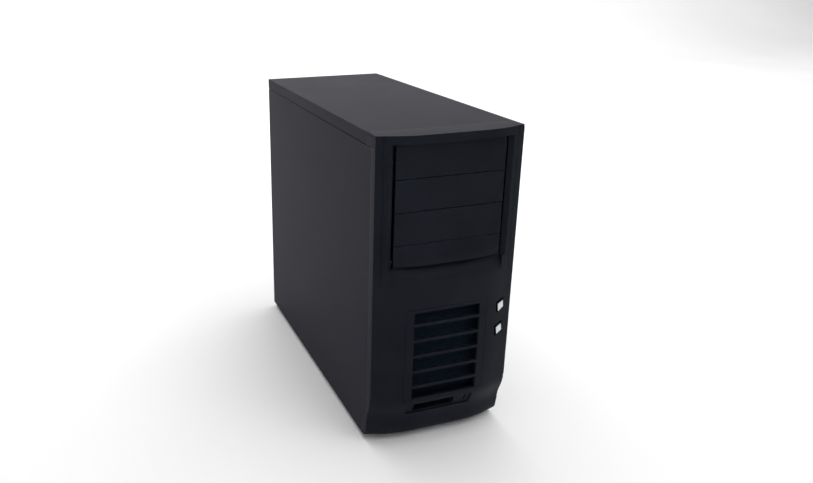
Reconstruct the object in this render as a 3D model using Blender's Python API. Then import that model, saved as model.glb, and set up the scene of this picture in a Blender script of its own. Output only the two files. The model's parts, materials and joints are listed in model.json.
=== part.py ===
"""Desktop computer tower: steel chassis, sliding side panels, curved plastic front and the parts inside.

Case frame, in metres: x to the right as seen from the front, y backwards from the plane of the two
front corners, z up from the underside of the floor pan. One empty places that frame in the world.
"""
import math

import bmesh
import bpy
from mathutils import Matrix, Vector

# ---------------------------------------------------------------- driving dimensions
WIDTH = 0.205
BODY_HEIGHT = 0.429
REAR_Y = 0.480
FOOT_HEIGHT = 0.007
GAP = 0.0003
SHEET = 0.0010
SKIN = 0.0008
HALF = WIDTH / 2
# cutters start this far ahead of the front, and reach this far to each side
AHEAD = 0.025
REACH = 0.12

# front bezel: flat middle, an arc each side of it, then straight wings to the corners
BULGE = 0.0133
FLAT_HALF = 0.038
ARC_END = 0.080
WING_ANGLE = math.radians(17.2)
BEZEL_WALL = 0.0025
BEZEL_DEPTH = 0.014
BEZEL_TOP_DEPTH = 0.028
BEZEL_CHIN_DEPTH = 0.030
TOP_SKIRT_Z = 0.413
# height, how far the front stands back, how deep the bezel reaches
CHIN_LEVELS = ((0.062, 0.0), (0.046, 0.0063), (0.033, 0.0115), (0.020, 0.0127), (0.012, 0.0135),
               (0.006, 0.0160), (0.002, 0.0200), (0.0, 0.0250))
CHIN_SLOPE_TOP = 0.046
CHIN_SLOPE_BOTTOM = 0.020

# drive bays in the bezel
BAY_HALF = 0.0795
BAY_TOP = 0.418
BAY_BOTTOM = 0.2565
# the sides of the recess slope from the front's face down to the covers
RECESS_HALF = 0.0850
RECESS_FACE_Y = -0.0068
RECESS_FOOT_Y = -0.0012
COLLAR_HALF = 0.0880
COLLAR_BACK = 0.0085
COVER_FACE_Y = -0.003
COVER_HALF = 0.0762
COVER_SEAMS = (0.4165, 0.3726, 0.3298, 0.2862, 0.2580)
SCOOP_BOTTOM = 0.235
SCOOP_STEPS = ((-0.0135, SCOOP_BOTTOM), (-0.0090, 0.2420), (-0.0040, 0.2500), (0.0010, 0.2570))
POCKET_HALVES = (-0.052, 0.046)
POCKET_STEPS = ((-0.0010, 0.0385), (-0.0085, 0.0560))
PULL_SLOT_LOW = (-0.041, 0.0415)
PULL_SLOT_HIGH = (0.020, 0.0540)

# grille, pull slot and buttons in the bezel
GRILLE_HALF = 0.059
GRILLE_LOW = 0.0625
GRILLE_HIGH = 0.199
GRILLE_OPEN_HALF = 0.0477
GRILLE_OPEN_LOW = 0.0665
GRILLE_OPEN_HIGH = 0.1940
SLAT_HEIGHTS = (0.0845, 0.1074, 0.1303, 0.1532, 0.1761)
SLAT_THICK = 0.0042
# caps and the wells round them, as corners in x and z
POWER_CORNERS = ((0.0786, 0.1852), (0.0881, 0.1888), (0.0893, 0.1792), (0.0802, 0.1743))
RESET_CORNERS = ((0.0784, 0.1500), (0.0875, 0.1540), (0.0894, 0.1440), (0.0802, 0.1398))
POWER_WELL = ((0.0752, 0.1888), (0.0889, 0.1936), (0.0900, 0.1783), (0.0768, 0.1722))
RESET_WELL = ((0.0750, 0.1534), (0.0882, 0.1582), (0.0901, 0.1432), (0.0768, 0.1378))
BUTTON_PROUD = 0.0006
BUTTON_STEM_RADIUS = 0.0020
SWITCH_HALF = 0.003

# standard parts
FAN_SIZE = 0.120
FAN_DEPTH = 0.025
PSU_SIZE = (0.150, 0.140, 0.086)
PSU_LOW = (-0.080, 0.3377, 0.3245)
BOARD_X = 0.0770
BOARD_THICK = 0.0016
BOARD_LOW_Z = 0.0150
BOARD_HEIGHT = 0.305
BOARD_DEPTH = 0.244
BOARD_BACK_Y = 0.4720
SLOT_PITCH = 0.02032
SLOT_TOP_Z = 0.1360
SLOT_COUNT = 7
IO_LOW = (0.0365, 0.1520)
IO_SIZE = (0.04445, 0.15875)
REAR_FAN_XZ = (-0.032, 0.2310)
FRONT_FAN_XZ = (0.0, 0.1303)
FAN_VENT_RINGS = ((0.012, 0.024), (0.028, 0.040), (0.044, 0.056))
PSU_VENT_RINGS = ((0.0110, 0.0185), (0.0200, 0.0275), (0.0290, 0.0368))
LEAD_HOLE_XZ = (0.085, 0.1620)
REAR_PANEL_Y = 0.4780
FRONT_PANEL_Y = 0.0156
CAGE_FRONT = FRONT_PANEL_Y + SHEET + GAP
TRAY_X = 0.0850
SCREW_X = 0.0945
SCREW_Z = (0.060, 0.352)
SCREW_HOLE = 0.0021

STEEL_BLACK = (0.020, 0.020, 0.022)
PLASTIC_BLACK = (0.012, 0.013, 0.016)


# ---------------------------------------------------------------- helpers
def clear_scene():
    for item in list(bpy.data.objects):
        bpy.data.objects.remove(item, do_unlink=True)


def finish_material(name, colour, roughness, metallic=0.0):
    surface = bpy.data.materials.new(name)
    surface.use_nodes = True
    shader = surface.node_tree.nodes["Principled BSDF"]
    shader.inputs["Base Color"].default_value = (*colour, 1.0)
    shader.inputs["Roughness"].default_value = roughness
    shader.inputs["Metallic"].default_value = metallic
    return surface


def solid(name, shape, colour, roughness=0.5, metallic=0.0, origin=(0, 0, 0), parent=None):
    """Turn a bmesh in the case frame into a named object whose origin is at the given point."""
    bmesh.ops.recalc_face_normals(shape, faces=shape.faces)
    bmesh.ops.translate(shape, verts=shape.verts, vec=-Vector(origin))
    mesh = bpy.data.meshes.new(name)
    shape.to_mesh(mesh)
    shape.free()
    item = bpy.data.objects.new(name, mesh)
    item.location = origin
    item.parent = parent or case
    item.data.materials.append(finish_material(name, colour, roughness, metallic))
    bpy.context.collection.objects.link(item)
    return item


def smooth(item, angle=35):
    item.data.shade_smooth()
    item.data.set_sharp_from_angle(angle=math.radians(angle))


def cutter(name, shape):
    """A guide solid in the case frame that other solids are cut by or joined to."""
    tool = solid(name, shape, (0.5, 0.1, 0.1))
    tool.display_type = "WIRE"
    tool.hide_render = True
    return tool


def boolean(item, shape, operation="DIFFERENCE"):
    tag = f"{item.name}_{operation.lower()}_{len(item.modifiers)}"
    step = item.modifiers.new(tag, "BOOLEAN")
    step.operation = operation
    step.object = shape if isinstance(shape, bpy.types.Object) else cutter(tag, shape)
    return step


def box(low, high, into=None):
    shape = into or bmesh.new()
    low, high = Vector(low), Vector(high)
    place = Matrix.Translation((low + high) / 2) @ Matrix.Diagonal((*(high - low), 1.0))
    bmesh.ops.create_cube(shape, size=1.0, matrix=place)
    return shape


AXES = {"x": Vector((1, 0, 0)), "y": Vector((0, 1, 0)), "z": Vector((0, 0, 1))}


def prism(outline, axis, start, end, into=None):
    """Extrude an outline along an axis; the outline gives the two other coordinates in x, y, z order."""
    shape = into or bmesh.new()
    order = {"x": (1, 2, 0), "y": (0, 2, 1), "z": (0, 1, 2)}[axis]
    points = []
    for first, second in outline:
        point = [0.0, 0.0, 0.0]
        point[order[0]], point[order[1]], point[order[2]] = first, second, start
        points.append(shape.verts.new(point))
    face = shape.faces.new(points)
    grown = bmesh.ops.extrude_face_region(shape, geom=[face])
    moved = [part for part in grown["geom"] if isinstance(part, bmesh.types.BMVert)]
    bmesh.ops.translate(shape, verts=moved, vec=AXES[axis] * (end - start))
    return shape


def circle(centre, radius, count, turn=0.0):
    steps = [turn + 2 * math.pi * i / count for i in range(count)]
    return [(centre[0] + radius * math.cos(a), centre[1] + radius * math.sin(a)) for a in steps]


def arc_slot(centre, inner, outer, start, end, count):
    steps = [start + (end - start) * i / count for i in range(count + 1)]
    rim = [(centre[0] + outer * math.cos(a), centre[1] + outer * math.sin(a)) for a in steps]
    back = [(centre[0] + inner * math.cos(a), centre[1] + inner * math.sin(a)) for a in reversed(steps)]
    return rim + back


def sheet_along(path, thickness):
    """Outline of a bent sheet: the path and, beside it, the same path one thickness to its left."""
    normals = []
    for (ax, ay), (bx, by) in zip(path, path[1:]):
        length = math.hypot(bx - ax, by - ay)
        normals.append(Vector((-(by - ay) / length, (bx - ax) / length)))
    offsets = [normals[0]]
    for before, after in zip(normals, normals[1:]):
        mean = (before + after).normalized()
        offsets.append(mean / mean.dot(before))
    offsets.append(normals[-1])
    inner = [(x + n.x * thickness, y + n.y * thickness) for (x, y), n in zip(path, offsets)]
    return list(path) + inner[::-1]


# ---------------------------------------------------------------- front bezel
def bezel_bulge(x):
    """How far the front stands ahead of the corner plane at a distance x from the middle."""
    x = abs(x)
    radius = (ARC_END - FLAT_HALF) / math.sin(WING_ANGLE)
    if x <= FLAT_HALF:
        return BULGE
    if x <= ARC_END:
        return BULGE - radius + math.sqrt(radius ** 2 - (x - FLAT_HALF) ** 2)
    drop = radius * (1 - math.cos(WING_ANGLE))
    return BULGE - drop - math.tan(WING_ANGLE) * (x - ARC_END)


def front_stations(half):
    arc = [FLAT_HALF + (ARC_END - FLAT_HALF) * i / 5 for i in range(6)]
    right = [0.0] + arc + [half]
    return [-x for x in reversed(right[1:])] + right


def front_curve(half, shift):
    return [(x, shift - bezel_bulge(x)) for x in front_stations(half)]


def chin_setback(z):
    levels = CHIN_LEVELS
    if z >= levels[0][0]:
        return 0.0
    for (z_a, s_a), (z_b, s_b) in zip(levels, levels[1:]):
        if z >= z_b:
            return s_a + (s_b - s_a) * (z_a - z) / (z_a - z_b)
    return levels[-1][1]


def bezel_back(z):
    """Where the bezel's side walls end: deep at the top and at the chin, shallow between."""
    if z > TOP_SKIRT_Z:
        return BEZEL_TOP_DEPTH
    if z >= CHIN_SLOPE_TOP:
        return BEZEL_DEPTH
    fall = min(1.0, (CHIN_SLOPE_TOP - z) / (CHIN_SLOPE_TOP - CHIN_SLOPE_BOTTOM))
    return BEZEL_DEPTH + (BEZEL_CHIN_DEPTH - BEZEL_DEPTH) * fall


def front_loft(half, shift, heights, back):
    """A solid whose front follows the bulge and the chin, closed by a plane behind."""
    shape = bmesh.new()
    rings = []
    for z in heights:
        ring = [(x, y + chin_setback(z), z) for x, y in front_curve(half, shift)]
        ring += [(half, back(z), z), (-half, back(z), z)]
        rings.append([shape.verts.new(point) for point in ring])
    for lower, upper in zip(rings, rings[1:]):
        edges = []
        for ring in (lower, upper):
            for a, b in zip(ring, ring[1:] + ring[:1]):
                edges.append(shape.edges.get((a, b)) or shape.edges.new((a, b)))
        bmesh.ops.bridge_loops(shape, edges=edges)
    for ring in (rings[0], rings[-1]):
        shape.faces.new(ring)
    return shape


def bezel_heights(low, high):
    inner = sorted(z for z, _ in CHIN_LEVELS if low < z < high)
    return [low] + inner + [high]


def make_front_bezel():
    bezel = solid("front_bezel", front_loft(HALF, 0.0, bezel_heights(0.0, BODY_HEIGHT), bezel_back),
                  PLASTIC_BLACK, 0.45)
    boolean(bezel, box((-REACH, BEZEL_DEPTH, CHIN_SLOPE_TOP), (REACH, 0.05, TOP_SKIRT_Z)))
    low, high = BEZEL_WALL, BODY_HEIGHT - BEZEL_WALL
    hollow = cutter("bezel_hollow", front_loft(HALF - BEZEL_WALL, BEZEL_WALL, bezel_heights(low, high),
                                               lambda z: 0.06))
    boolean(hollow, box((-COLLAR_HALF, -AHEAD, 0.2300), (COLLAR_HALF, COLLAR_BACK, 0.4210)))
    boolean(hollow, box((-0.056, -AHEAD, 0.030), (0.056, 0.0120, 0.0600)))
    boolean(bezel, hollow)
    openings = box((-BAY_HALF, -AHEAD, BAY_BOTTOM), (BAY_HALF, AHEAD, BAY_TOP))
    box((-GRILLE_HALF, -AHEAD, GRILLE_LOW), (GRILLE_HALF, 0.0001, GRILLE_HIGH), openings)
    for corners in (POWER_WELL, RESET_WELL):
        prism(corners, "y", -AHEAD, 0.012, openings)
    boolean(bezel, openings)
    cut_front_hollows(bezel)


def cut_front_hollows(bezel):
    """Sloping recess sides, the finger scoop under the covers, and the pull pocket with its slot."""
    slope = bmesh.new()
    for side in (-1, 1):
        outline = [(side * (BAY_HALF - GAP), RECESS_FOOT_Y), (side * RECESS_HALF, RECESS_FACE_Y),
                   (side * RECESS_HALF, -AHEAD), (side * (BAY_HALF - GAP), -AHEAD)]
        prism(outline, "z", BAY_BOTTOM, BAY_TOP, slope)
    boolean(bezel, slope)
    scoop = list(SCOOP_STEPS) + [(-AHEAD, SCOOP_STEPS[-1][1]), (-AHEAD, SCOOP_BOTTOM)]
    boolean(bezel, prism(scoop, "x", -BAY_HALF, BAY_HALF))
    pocket = [(-AHEAD, POCKET_STEPS[0][1]), *POCKET_STEPS, (-AHEAD, POCKET_STEPS[1][1])]
    boolean(bezel, prism(pocket, "x", *POCKET_HALVES))
    boolean(bezel, box((PULL_SLOT_LOW[0], -AHEAD, PULL_SLOT_LOW[1]),
                       (PULL_SLOT_HIGH[0], AHEAD, PULL_SLOT_HIGH[1])))


def make_front_grille():
    depth = 0.0050
    low, high = GRILLE_LOW + GAP, GRILLE_HIGH - GAP
    half = GRILLE_HALF - GAP
    stations = [x for x in front_stations(half) if abs(x) <= half]
    stations = [-half] + [x for x in stations if abs(x) < half] + [half]
    front = [(x, -bezel_bulge(x)) for x in stations]
    outline = front + [(x, y + depth) for x, y in reversed(front)]
    grille = solid("front_grille", prism(outline, "z", low, high), PLASTIC_BLACK, 0.5)
    edges = [GRILLE_OPEN_LOW] + [z + side * SLAT_THICK / 2 for z in SLAT_HEIGHTS for side in (-1, 1)]
    edges.append(GRILLE_OPEN_HIGH)
    slots = bmesh.new()
    for bottom, top in zip(edges[::2], edges[1::2]):
        box((-GRILLE_OPEN_HALF, -0.03, bottom), (GRILLE_OPEN_HALF, 0.02, top), slots)
    boolean(grille, slots)


def make_bay_covers():
    names = ("drive_bay_cover_upper", "drive_bay_cover_middle", "drive_bay_cover_lower")
    for name, top, bottom in zip(names, COVER_SEAMS, COVER_SEAMS[1:]):
        shape = box((-COVER_HALF, COVER_FACE_Y, bottom + GAP), (COVER_HALF, 0.0, top - GAP))
        cover = solid(name, shape, PLASTIC_BLACK, 0.5)
        latches = bmesh.new()
        for side in (-1, 1):
            inner, outer = sorted((side * 0.0700, side * 0.0718))
            box((inner, -0.0010, bottom + 0.008), (outer, 0.0140, top - 0.008), latches)
        boolean(cover, latches, "UNION")
    top, bottom = COVER_SEAMS[3], COVER_SEAMS[4]
    side = [(-COVER_HALF + 2 * COVER_HALF * i / 12) for i in range(13)]
    lip = bmesh.new()
    face_y, foot = COVER_FACE_Y, 0.0070
    rows = ((top - GAP, 0.0), (0.5 * (top + bottom), 0.25), (bottom + 0.004, 1.0), (bottom + GAP, 1.0))
    rings = []
    for z, share in rows:
        ring = []
        for x in side:
            swell = foot * share * (1 - abs(x / COVER_HALF) ** 3)
            ring.append(lip.verts.new((x, face_y - swell, z)))
        ring += [lip.verts.new((COVER_HALF, 0.0, z)), lip.verts.new((-COVER_HALF, 0.0, z))]
        rings.append(ring)
    for upper, lower in zip(rings, rings[1:]):
        loop = []
        for ring in (upper, lower):
            for a, b in zip(ring, ring[1:] + ring[:1]):
                loop.append(lip.edges.get((a, b)) or lip.edges.new((a, b)))
        bmesh.ops.bridge_loops(lip, edges=loop)
    lip.faces.new(rings[0])
    lip.faces.new(rings[-1])
    cover = solid("floppy_bay_cover", lip, PLASTIC_BLACK, 0.5)
    smooth(cover)


def make_button(name, corners):
    """A cap whose face lies along the bezel's wing, on a stem that reaches its switch."""
    shape = bmesh.new()
    front = [shape.verts.new((x, -bezel_bulge(x) - BUTTON_PROUD, z)) for x, z in corners]
    back = [shape.verts.new((x, 0.0030, z)) for x, z in corners]
    shape.faces.new(front)
    shape.faces.new(back)
    for i in range(4):
        j = (i + 1) % 4
        shape.faces.new((front[i], front[j], back[j], back[i]))
    mid_x = sum(x for x, _ in corners) / 4
    mid_z = sum(z for _, z in corners) / 4
    cap = solid(name, shape, (0.60, 0.63, 0.65), 0.35, origin=(mid_x, 0.0, mid_z))
    stem = prism(circle((mid_x, mid_z), BUTTON_STEM_RADIUS, 12), "y", 0.0020, 0.0066)
    boolean(cap, stem, "UNION")


def make_switch_board():
    board = solid("front_switch_board", box((0.0740, 0.0120, 0.1350), (0.0960, 0.0136, 0.1960)),
                  (0.02, 0.10, 0.05), 0.5)
    switches = bmesh.new()
    for corners in (POWER_CORNERS, RESET_CORNERS):
        mid_x = sum(x for x, _ in corners) / 4
        mid_z = sum(z for _, z in corners) / 4
        box((mid_x - SWITCH_HALF, 0.0094, mid_z - SWITCH_HALF),
            (mid_x + SWITCH_HALF, 0.0125, mid_z + SWITCH_HALF), switches)
    boolean(board, switches, "UNION")


# ---------------------------------------------------------------- steel case
def make_top_cover():
    inner = HALF - SKIN
    path = [(-HALF, TOP_SKIRT_Z), (-HALF, BODY_HEIGHT), (HALF, BODY_HEIGHT), (HALF, TOP_SKIRT_Z)]
    outline = sheet_along(path[::-1], SKIN)
    front = BEZEL_TOP_DEPTH + GAP
    cover = solid("top_cover", prism(outline, "y", front, REAR_Y), STEEL_BLACK, 0.4, 0.4)
    skirt = box((-inner - 0.0002, REAR_Y - SKIN, TOP_SKIRT_Z), (inner + 0.0002, REAR_Y, BODY_HEIGHT - 0.0004))
    boolean(cover, skirt, "UNION")


def make_side_panel(name, side):
    """A flat steel side with a lip folded over the rear, held by two captive screws."""
    top = TOP_SKIRT_Z - 0.0008
    front = BEZEL_DEPTH + GAP
    chin = BEZEL_CHIN_DEPTH + GAP
    outline = [(front, top), (front, CHIN_SLOPE_TOP), (chin, CHIN_SLOPE_BOTTOM), (chin, 0.0005),
               (REAR_Y, 0.0005), (REAR_Y, top)]
    start, end = side * HALF, side * (HALF - SKIN)
    panel = solid(name, prism(outline, "x", start, end), STEEL_BLACK, 0.4, 0.4)
    low, high = sorted((side * (HALF - 0.0002), side * 0.0885))
    lip = box((low, REAR_Y - SKIN, 0.0030), (high, REAR_Y, top - 0.0020))
    boolean(panel, lip, "UNION")
    fold_low, fold_high = sorted((side * (HALF - 0.0004), side * (HALF - 0.0060)))
    hem = box((fold_low, front, 0.060), (fold_high, front + SKIN, top - 0.010))
    boolean(panel, hem, "UNION")
    holes = bmesh.new()
    for z in SCREW_Z:
        prism(circle((side * SCREW_X, z), SCREW_HOLE, 12), "y", REAR_Y - 0.004, REAR_Y + 0.004, holes)
    boolean(panel, holes)


def make_thumbscrew(name, side, z, parent):
    """Knurled head and a plain shank, turned about its own axis."""
    centre = (side * SCREW_X, z)
    head_start, head_end = REAR_Y + GAP, REAR_Y + 0.0067
    knurl = []
    for i, (x, height) in enumerate(circle(centre, 0.0062, 24)):
        reach = 1.0 if i % 2 else 0.90
        knurl.append((centre[0] + (x - centre[0]) * reach, centre[1] + (height - centre[1]) * reach))
    screw = solid(name, prism(knurl, "y", head_start, head_end), (0.45, 0.45, 0.46), 0.35, 0.9,
                  origin=(centre[0], head_start, centre[1]), parent=parent)
    boolean(screw, prism(circle(centre, 0.0016, 12), "y", REAR_Y - 0.0090, head_start + 0.001), "UNION")
    smooth(screw)


def make_base_pan():
    outer = HALF - SKIN - GAP
    front, back = BEZEL_CHIN_DEPTH + 0.0015, REAR_PANEL_Y - GAP
    pan = solid("base_pan", box((-outer, front, 0.0), (outer, back, 0.0140)), STEEL_BLACK, 0.5, 0.5)
    room = box((-outer + SHEET, front + SHEET, SHEET), (outer - SHEET, back + SHEET, 0.02))
    boolean(pan, room)


def fan_vent(centre, start, end, into, radii, gap_angle=0.16, arcs=4):
    """Rings of curved slots stamped in front of a fan."""
    for inner, outer in radii:
        for i in range(arcs):
            begin = 2 * math.pi * i / arcs + math.pi / 4 + gap_angle / 2
            end_angle = 2 * math.pi * (i + 1) / arcs + math.pi / 4 - gap_angle / 2
            prism(arc_slot(centre, inner, outer, begin, end_angle, 5), "y", start, end, into)


def make_rear_panel():
    outer = HALF - SKIN - GAP
    panel = solid("rear_panel", box((-outer, REAR_PANEL_Y, 0.0), (outer, REAR_PANEL_Y + SKIN, 0.4275)),
                  (0.35, 0.36, 0.37), 0.4, 0.8)
    start, end = REAR_PANEL_Y - 0.01, REAR_PANEL_Y + 0.01
    holes = bmesh.new()
    psu_x, _, psu_z = PSU_LOW
    box((psu_x + 0.005, start, psu_z + 0.004), (psu_x + PSU_SIZE[0] - 0.005, end, psu_z + 0.082), holes)
    box((IO_LOW[0], start, IO_LOW[1]), (IO_LOW[0] + IO_SIZE[0], end, IO_LOW[1] + IO_SIZE[1]), holes)
    for i in range(SLOT_COUNT):
        z = SLOT_TOP_Z - i * SLOT_PITCH
        box((-0.0300, start, z - 0.0062), (0.0745, end, z + 0.0062), holes)
    fan_vent(REAR_FAN_XZ, start, end, holes, FAN_VENT_RINGS)
    for side in (-1, 1):
        for z in SCREW_Z:
            prism(circle((side * SCREW_X, z), SCREW_HOLE, 12), "y", start, end, holes)
    boolean(panel, holes)


def make_front_panel():
    """Steel front of the chassis, bent back at the bottom behind the chin."""
    outer = HALF - SKIN - GAP
    path = [(FRONT_PANEL_Y, 0.4120), (FRONT_PANEL_Y, 0.0470), (0.0310, 0.0210), (0.0310, 0.0145)]
    outline = sheet_along(path, SHEET)
    panel = solid("front_chassis_panel", prism(outline, "x", -outer, outer), STEEL_BLACK, 0.5, 0.5)
    holes = box((-0.0735, 0.0, 0.2600), (0.0735, 0.03, 0.4090))
    fan_vent(FRONT_FAN_XZ, 0.0, 0.03, holes, FAN_VENT_RINGS)
    prism(circle(LEAD_HOLE_XZ, 0.0040, 12), "y", 0.0, 0.03, holes)
    boolean(panel, holes)


def make_drive_walls():
    for name, side in (("bay_wall_left", -1), ("bay_wall_right", 1)):
        start, end = side * 0.0750, side * 0.0762
        outline = [(CAGE_FRONT, 0.2450), (0.1900, 0.2450), (0.1900, 0.4115), (CAGE_FRONT, 0.4115)]
        wall = solid(name, prism(outline, "x", start, end), (0.35, 0.36, 0.37), 0.4, 0.8)
        windows = bmesh.new()
        for z in (0.262, 0.300, 0.342, 0.384):
            low, high = sorted((side * 0.07, side * 0.08))
            box((low, 0.045, z), (high, 0.075, z + 0.012), windows)
            box((low, 0.125, z), (high, 0.155, z + 0.012), windows)
        boolean(wall, windows)
    shelf = box((-0.0747, CAGE_FRONT, 0.2450), (0.0747, 0.1900, 0.2460))
    solid("bay_shelf", shelf, (0.35, 0.36, 0.37), 0.4, 0.8)


def make_hard_drive():
    cage = solid("hard_drive_cage", box((-0.0550, 0.0470, 0.0013), (0.0550, 0.1920, 0.2440)),
                 (0.35, 0.36, 0.37), 0.4, 0.8)
    boolean(cage, box((-0.0538, 0.03, 0.0025), (0.0538, 0.21, 0.2428)))
    shelf = bmesh.new()
    for z in (0.0600, 0.1000, 0.1400, 0.1800):
        for side in (-1, 1):
            low, high = sorted((side * 0.0512, side * 0.0545))
            box((low, 0.052, z), (high, 0.187, z + 0.0012), shelf)
    boolean(cage, shelf, "UNION")
    windows = box((-0.06, 0.070, 0.0150), (0.06, 0.160, 0.0500))
    boolean(cage, windows)
    drive = solid("hard_drive", box((-0.0508, 0.0500, 0.1016), (0.0508, 0.1960, 0.1277)),
                  (0.45, 0.46, 0.47), 0.35, 0.8)
    step = box((-0.0600, 0.0400, 0.1230), (-0.0470, 0.21, 0.14))
    box((0.0470, 0.0400, 0.1230), (0.0600, 0.21, 0.14), step)
    boolean(drive, step)


def make_board_tray():
    tray = solid("motherboard_tray", box((TRAY_X, 0.2050, 0.0143), (TRAY_X + SHEET, 0.4775, 0.4115)),
                 (0.35, 0.36, 0.37), 0.4, 0.8)
    studs = bmesh.new()
    for y in (0.2380, 0.3050, 0.4620):
        for z in (0.0250, 0.1800, 0.3100):
            prism(circle((y, z), 0.0028, 8), "x", BOARD_X + BOARD_THICK + GAP, TRAY_X + 0.0005, studs)
    boolean(tray, studs, "UNION")


# ---------------------------------------------------------------- electronics
def make_motherboard():
    low_y, low_z = BOARD_BACK_Y - BOARD_DEPTH, BOARD_LOW_Z
    board = solid("motherboard", box((BOARD_X, low_y, low_z),
                                     (BOARD_X + BOARD_THICK, BOARD_BACK_Y, low_z + BOARD_HEIGHT)),
                  (0.02, 0.12, 0.06), 0.4)
    sockets = bmesh.new()
    overlap = BOARD_X + 0.0005
    for i in range(1, SLOT_COUNT):
        z = SLOT_TOP_Z - i * SLOT_PITCH
        box((BOARD_X - 0.011, 0.335, z - 0.0035), (overlap, 0.420, z + 0.0035), sockets)
    for y in (0.262, 0.272, 0.282, 0.292):
        box((BOARD_X - 0.008, y - 0.003, 0.160), (overlap, y + 0.003, 0.300), sockets)
    box((BOARD_X - 0.012, 0.2330, 0.195), (overlap, 0.2430, 0.250), sockets)
    box((BOARD_X - 0.025, 0.300, 0.052), (overlap, 0.327, 0.079), sockets)
    boolean(board, sockets, "UNION")


def make_cpu_cooler():
    """A finned block on the processor with a fan blowing into it along x."""
    mid_y, mid_z = 0.3700, 0.2420
    half = 0.0420
    high = BOARD_X - GAP
    fins = box((0.0420, mid_y - half, mid_z - half), (high, mid_y + half, mid_z + half))
    block = solid("cpu_heatsink", fins,
                  (0.55, 0.56, 0.57), 0.3, 0.9)
    gaps = bmesh.new()
    for i in range(9):
        y = mid_y - half + 0.0068 + i * 0.0088
        box((0.03, y - 0.0030, mid_z - 0.06), (0.0700, y + 0.0030, mid_z + 0.06), gaps)
    boolean(block, gaps)
    make_fan("cpu_fan", (0.0420 - GAP, mid_y, mid_z), "x", 0.080, 0.0250, -1)


def rotor_mesh(centre, axis, radius, hub, depth, blades=7):
    """Hub and pitched blades about an axis; each blade is a bent plate rooted in the hub."""
    shape = bmesh.new()
    bmesh.ops.create_cone(shape, cap_ends=True, segments=21, radius1=hub, radius2=hub, depth=depth)
    pieces = []
    for i in range(blades):
        blade = bmesh.new()
        box((hub * 0.9, -radius * 0.30, -0.0007), (radius * 0.95, radius * 0.30, 0.0007), blade)
        tilt = Matrix.Rotation(math.radians(38), 4, "X")
        spin = Matrix.Rotation(2 * math.pi * i / blades, 4, "Z")
        bmesh.ops.transform(blade, matrix=spin @ tilt, verts=blade.verts)
        pieces.append(blade)
    face_along = {"x": Matrix.Rotation(math.pi / 2, 4, "Y"), "y": Matrix.Rotation(math.pi / 2, 4, "X")}[axis]
    place = Matrix.Translation(centre) @ face_along
    for piece in [shape] + pieces:
        bmesh.ops.transform(piece, matrix=place, verts=piece.verts)
    return shape, pieces


def join_meshes(parts):
    whole = bmesh.new()
    for part in parts:
        mesh = bpy.data.meshes.new("blades")
        part.to_mesh(mesh)
        part.free()
        whole.from_mesh(mesh)
        bpy.data.meshes.remove(mesh)
    return whole


def make_fan(name, face, axis, size, depth, direction):
    """Square frame and rotor; face is the middle of the side that bolts on, direction points away from it."""
    middle = Vector(face) + AXES[axis] * direction * depth / 2
    half = size / 2
    span = Vector((half, half, half))
    span["xyz".index(axis)] = depth / 2
    frame = solid(f"{name}_frame", box(middle - span, middle + span), (0.03, 0.03, 0.03), 0.5)
    across = [i for i in range(3) if i != "xyz".index(axis)]
    centre = (middle[across[0]], middle[across[1]])
    along = middle["xyz".index(axis)]
    bore_radius = half * 0.945
    foot = 0.0030
    ends = sorted((along + direction * depth, along - direction * (depth / 2 - foot)))
    bore = prism(circle(centre, bore_radius, 28), axis, ends[0], ends[1])
    boolean(frame, bore)
    base_ends = sorted((along - direction * (depth / 2 - foot) + direction * 0.001,
                        along - direction * (depth / 2 + 0.002)))
    windows = bmesh.new()
    hub = size * 0.17
    for i in range(4):
        begin = math.pi / 2 * i + 0.10
        end_angle = math.pi / 2 * (i + 1) - 0.10
        prism(arc_slot(centre, hub + 0.001, bore_radius - 0.0002, begin, end_angle, 5),
              axis, base_ends[0], base_ends[1], windows)
    boolean(frame, windows)
    rotor_depth = depth - foot - 0.0035
    rotor_middle = middle + AXES[axis] * direction * (foot / 2 - 0.0002)
    body, blades = rotor_mesh(rotor_middle, axis, bore_radius - 0.0015, hub * 0.95, rotor_depth)
    rotor = solid(f"{name}_rotor", body, (0.03, 0.03, 0.03), 0.5, origin=rotor_middle)
    boolean(rotor, join_meshes(blades), "UNION")
    return frame, rotor


def make_memory():
    for i, y in enumerate((0.2620, 0.2820), start=1):
        shape = box((BOARD_X - 0.0360, y - 0.0007, 0.1635), (BOARD_X - 0.0083, y + 0.0007, 0.2965))
        stick = solid(f"memory_module_{i}", shape, (0.02, 0.10, 0.05), 0.45)
        chips = bmesh.new()
        for k in range(8):
            z = 0.1680 + k * 0.0160
            box((BOARD_X - 0.0300, y - 0.0019, z), (BOARD_X - 0.0180, y + 0.0003, z + 0.0120), chips)
        boolean(stick, chips, "UNION")


def make_graphics_card():
    z = SLOT_TOP_Z
    card = solid("graphics_card", box((-0.0300, 0.3000, z - 0.0008), (BOARD_X - GAP, 0.4745, z + 0.0008)),
                 (0.03, 0.09, 0.05), 0.45)
    extra = box((-0.0220, 0.3120, z - 0.0180), (0.0620, 0.4500, z - 0.0005))
    boolean(card, extra, "UNION")
    boolean(card, box((-0.0340, 0.4740, z - 0.0092), (0.0745, 0.4750, z + 0.0092)), "UNION")


def make_slot_covers():
    for i in range(1, SLOT_COUNT):
        z = SLOT_TOP_Z - i * SLOT_PITCH
        path = [(0.0745, REAR_PANEL_Y - GAP), (-0.0360, REAR_PANEL_Y - GAP), (-0.0360, REAR_PANEL_Y - 0.0110)]
        outline = sheet_along(path, SKIN)
        plate = prism(outline, "z", z - 0.0092, z + 0.0092)
        solid(f"slot_cover_{i + 1}", plate, (0.45, 0.46, 0.47), 0.35, 0.8)


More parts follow.
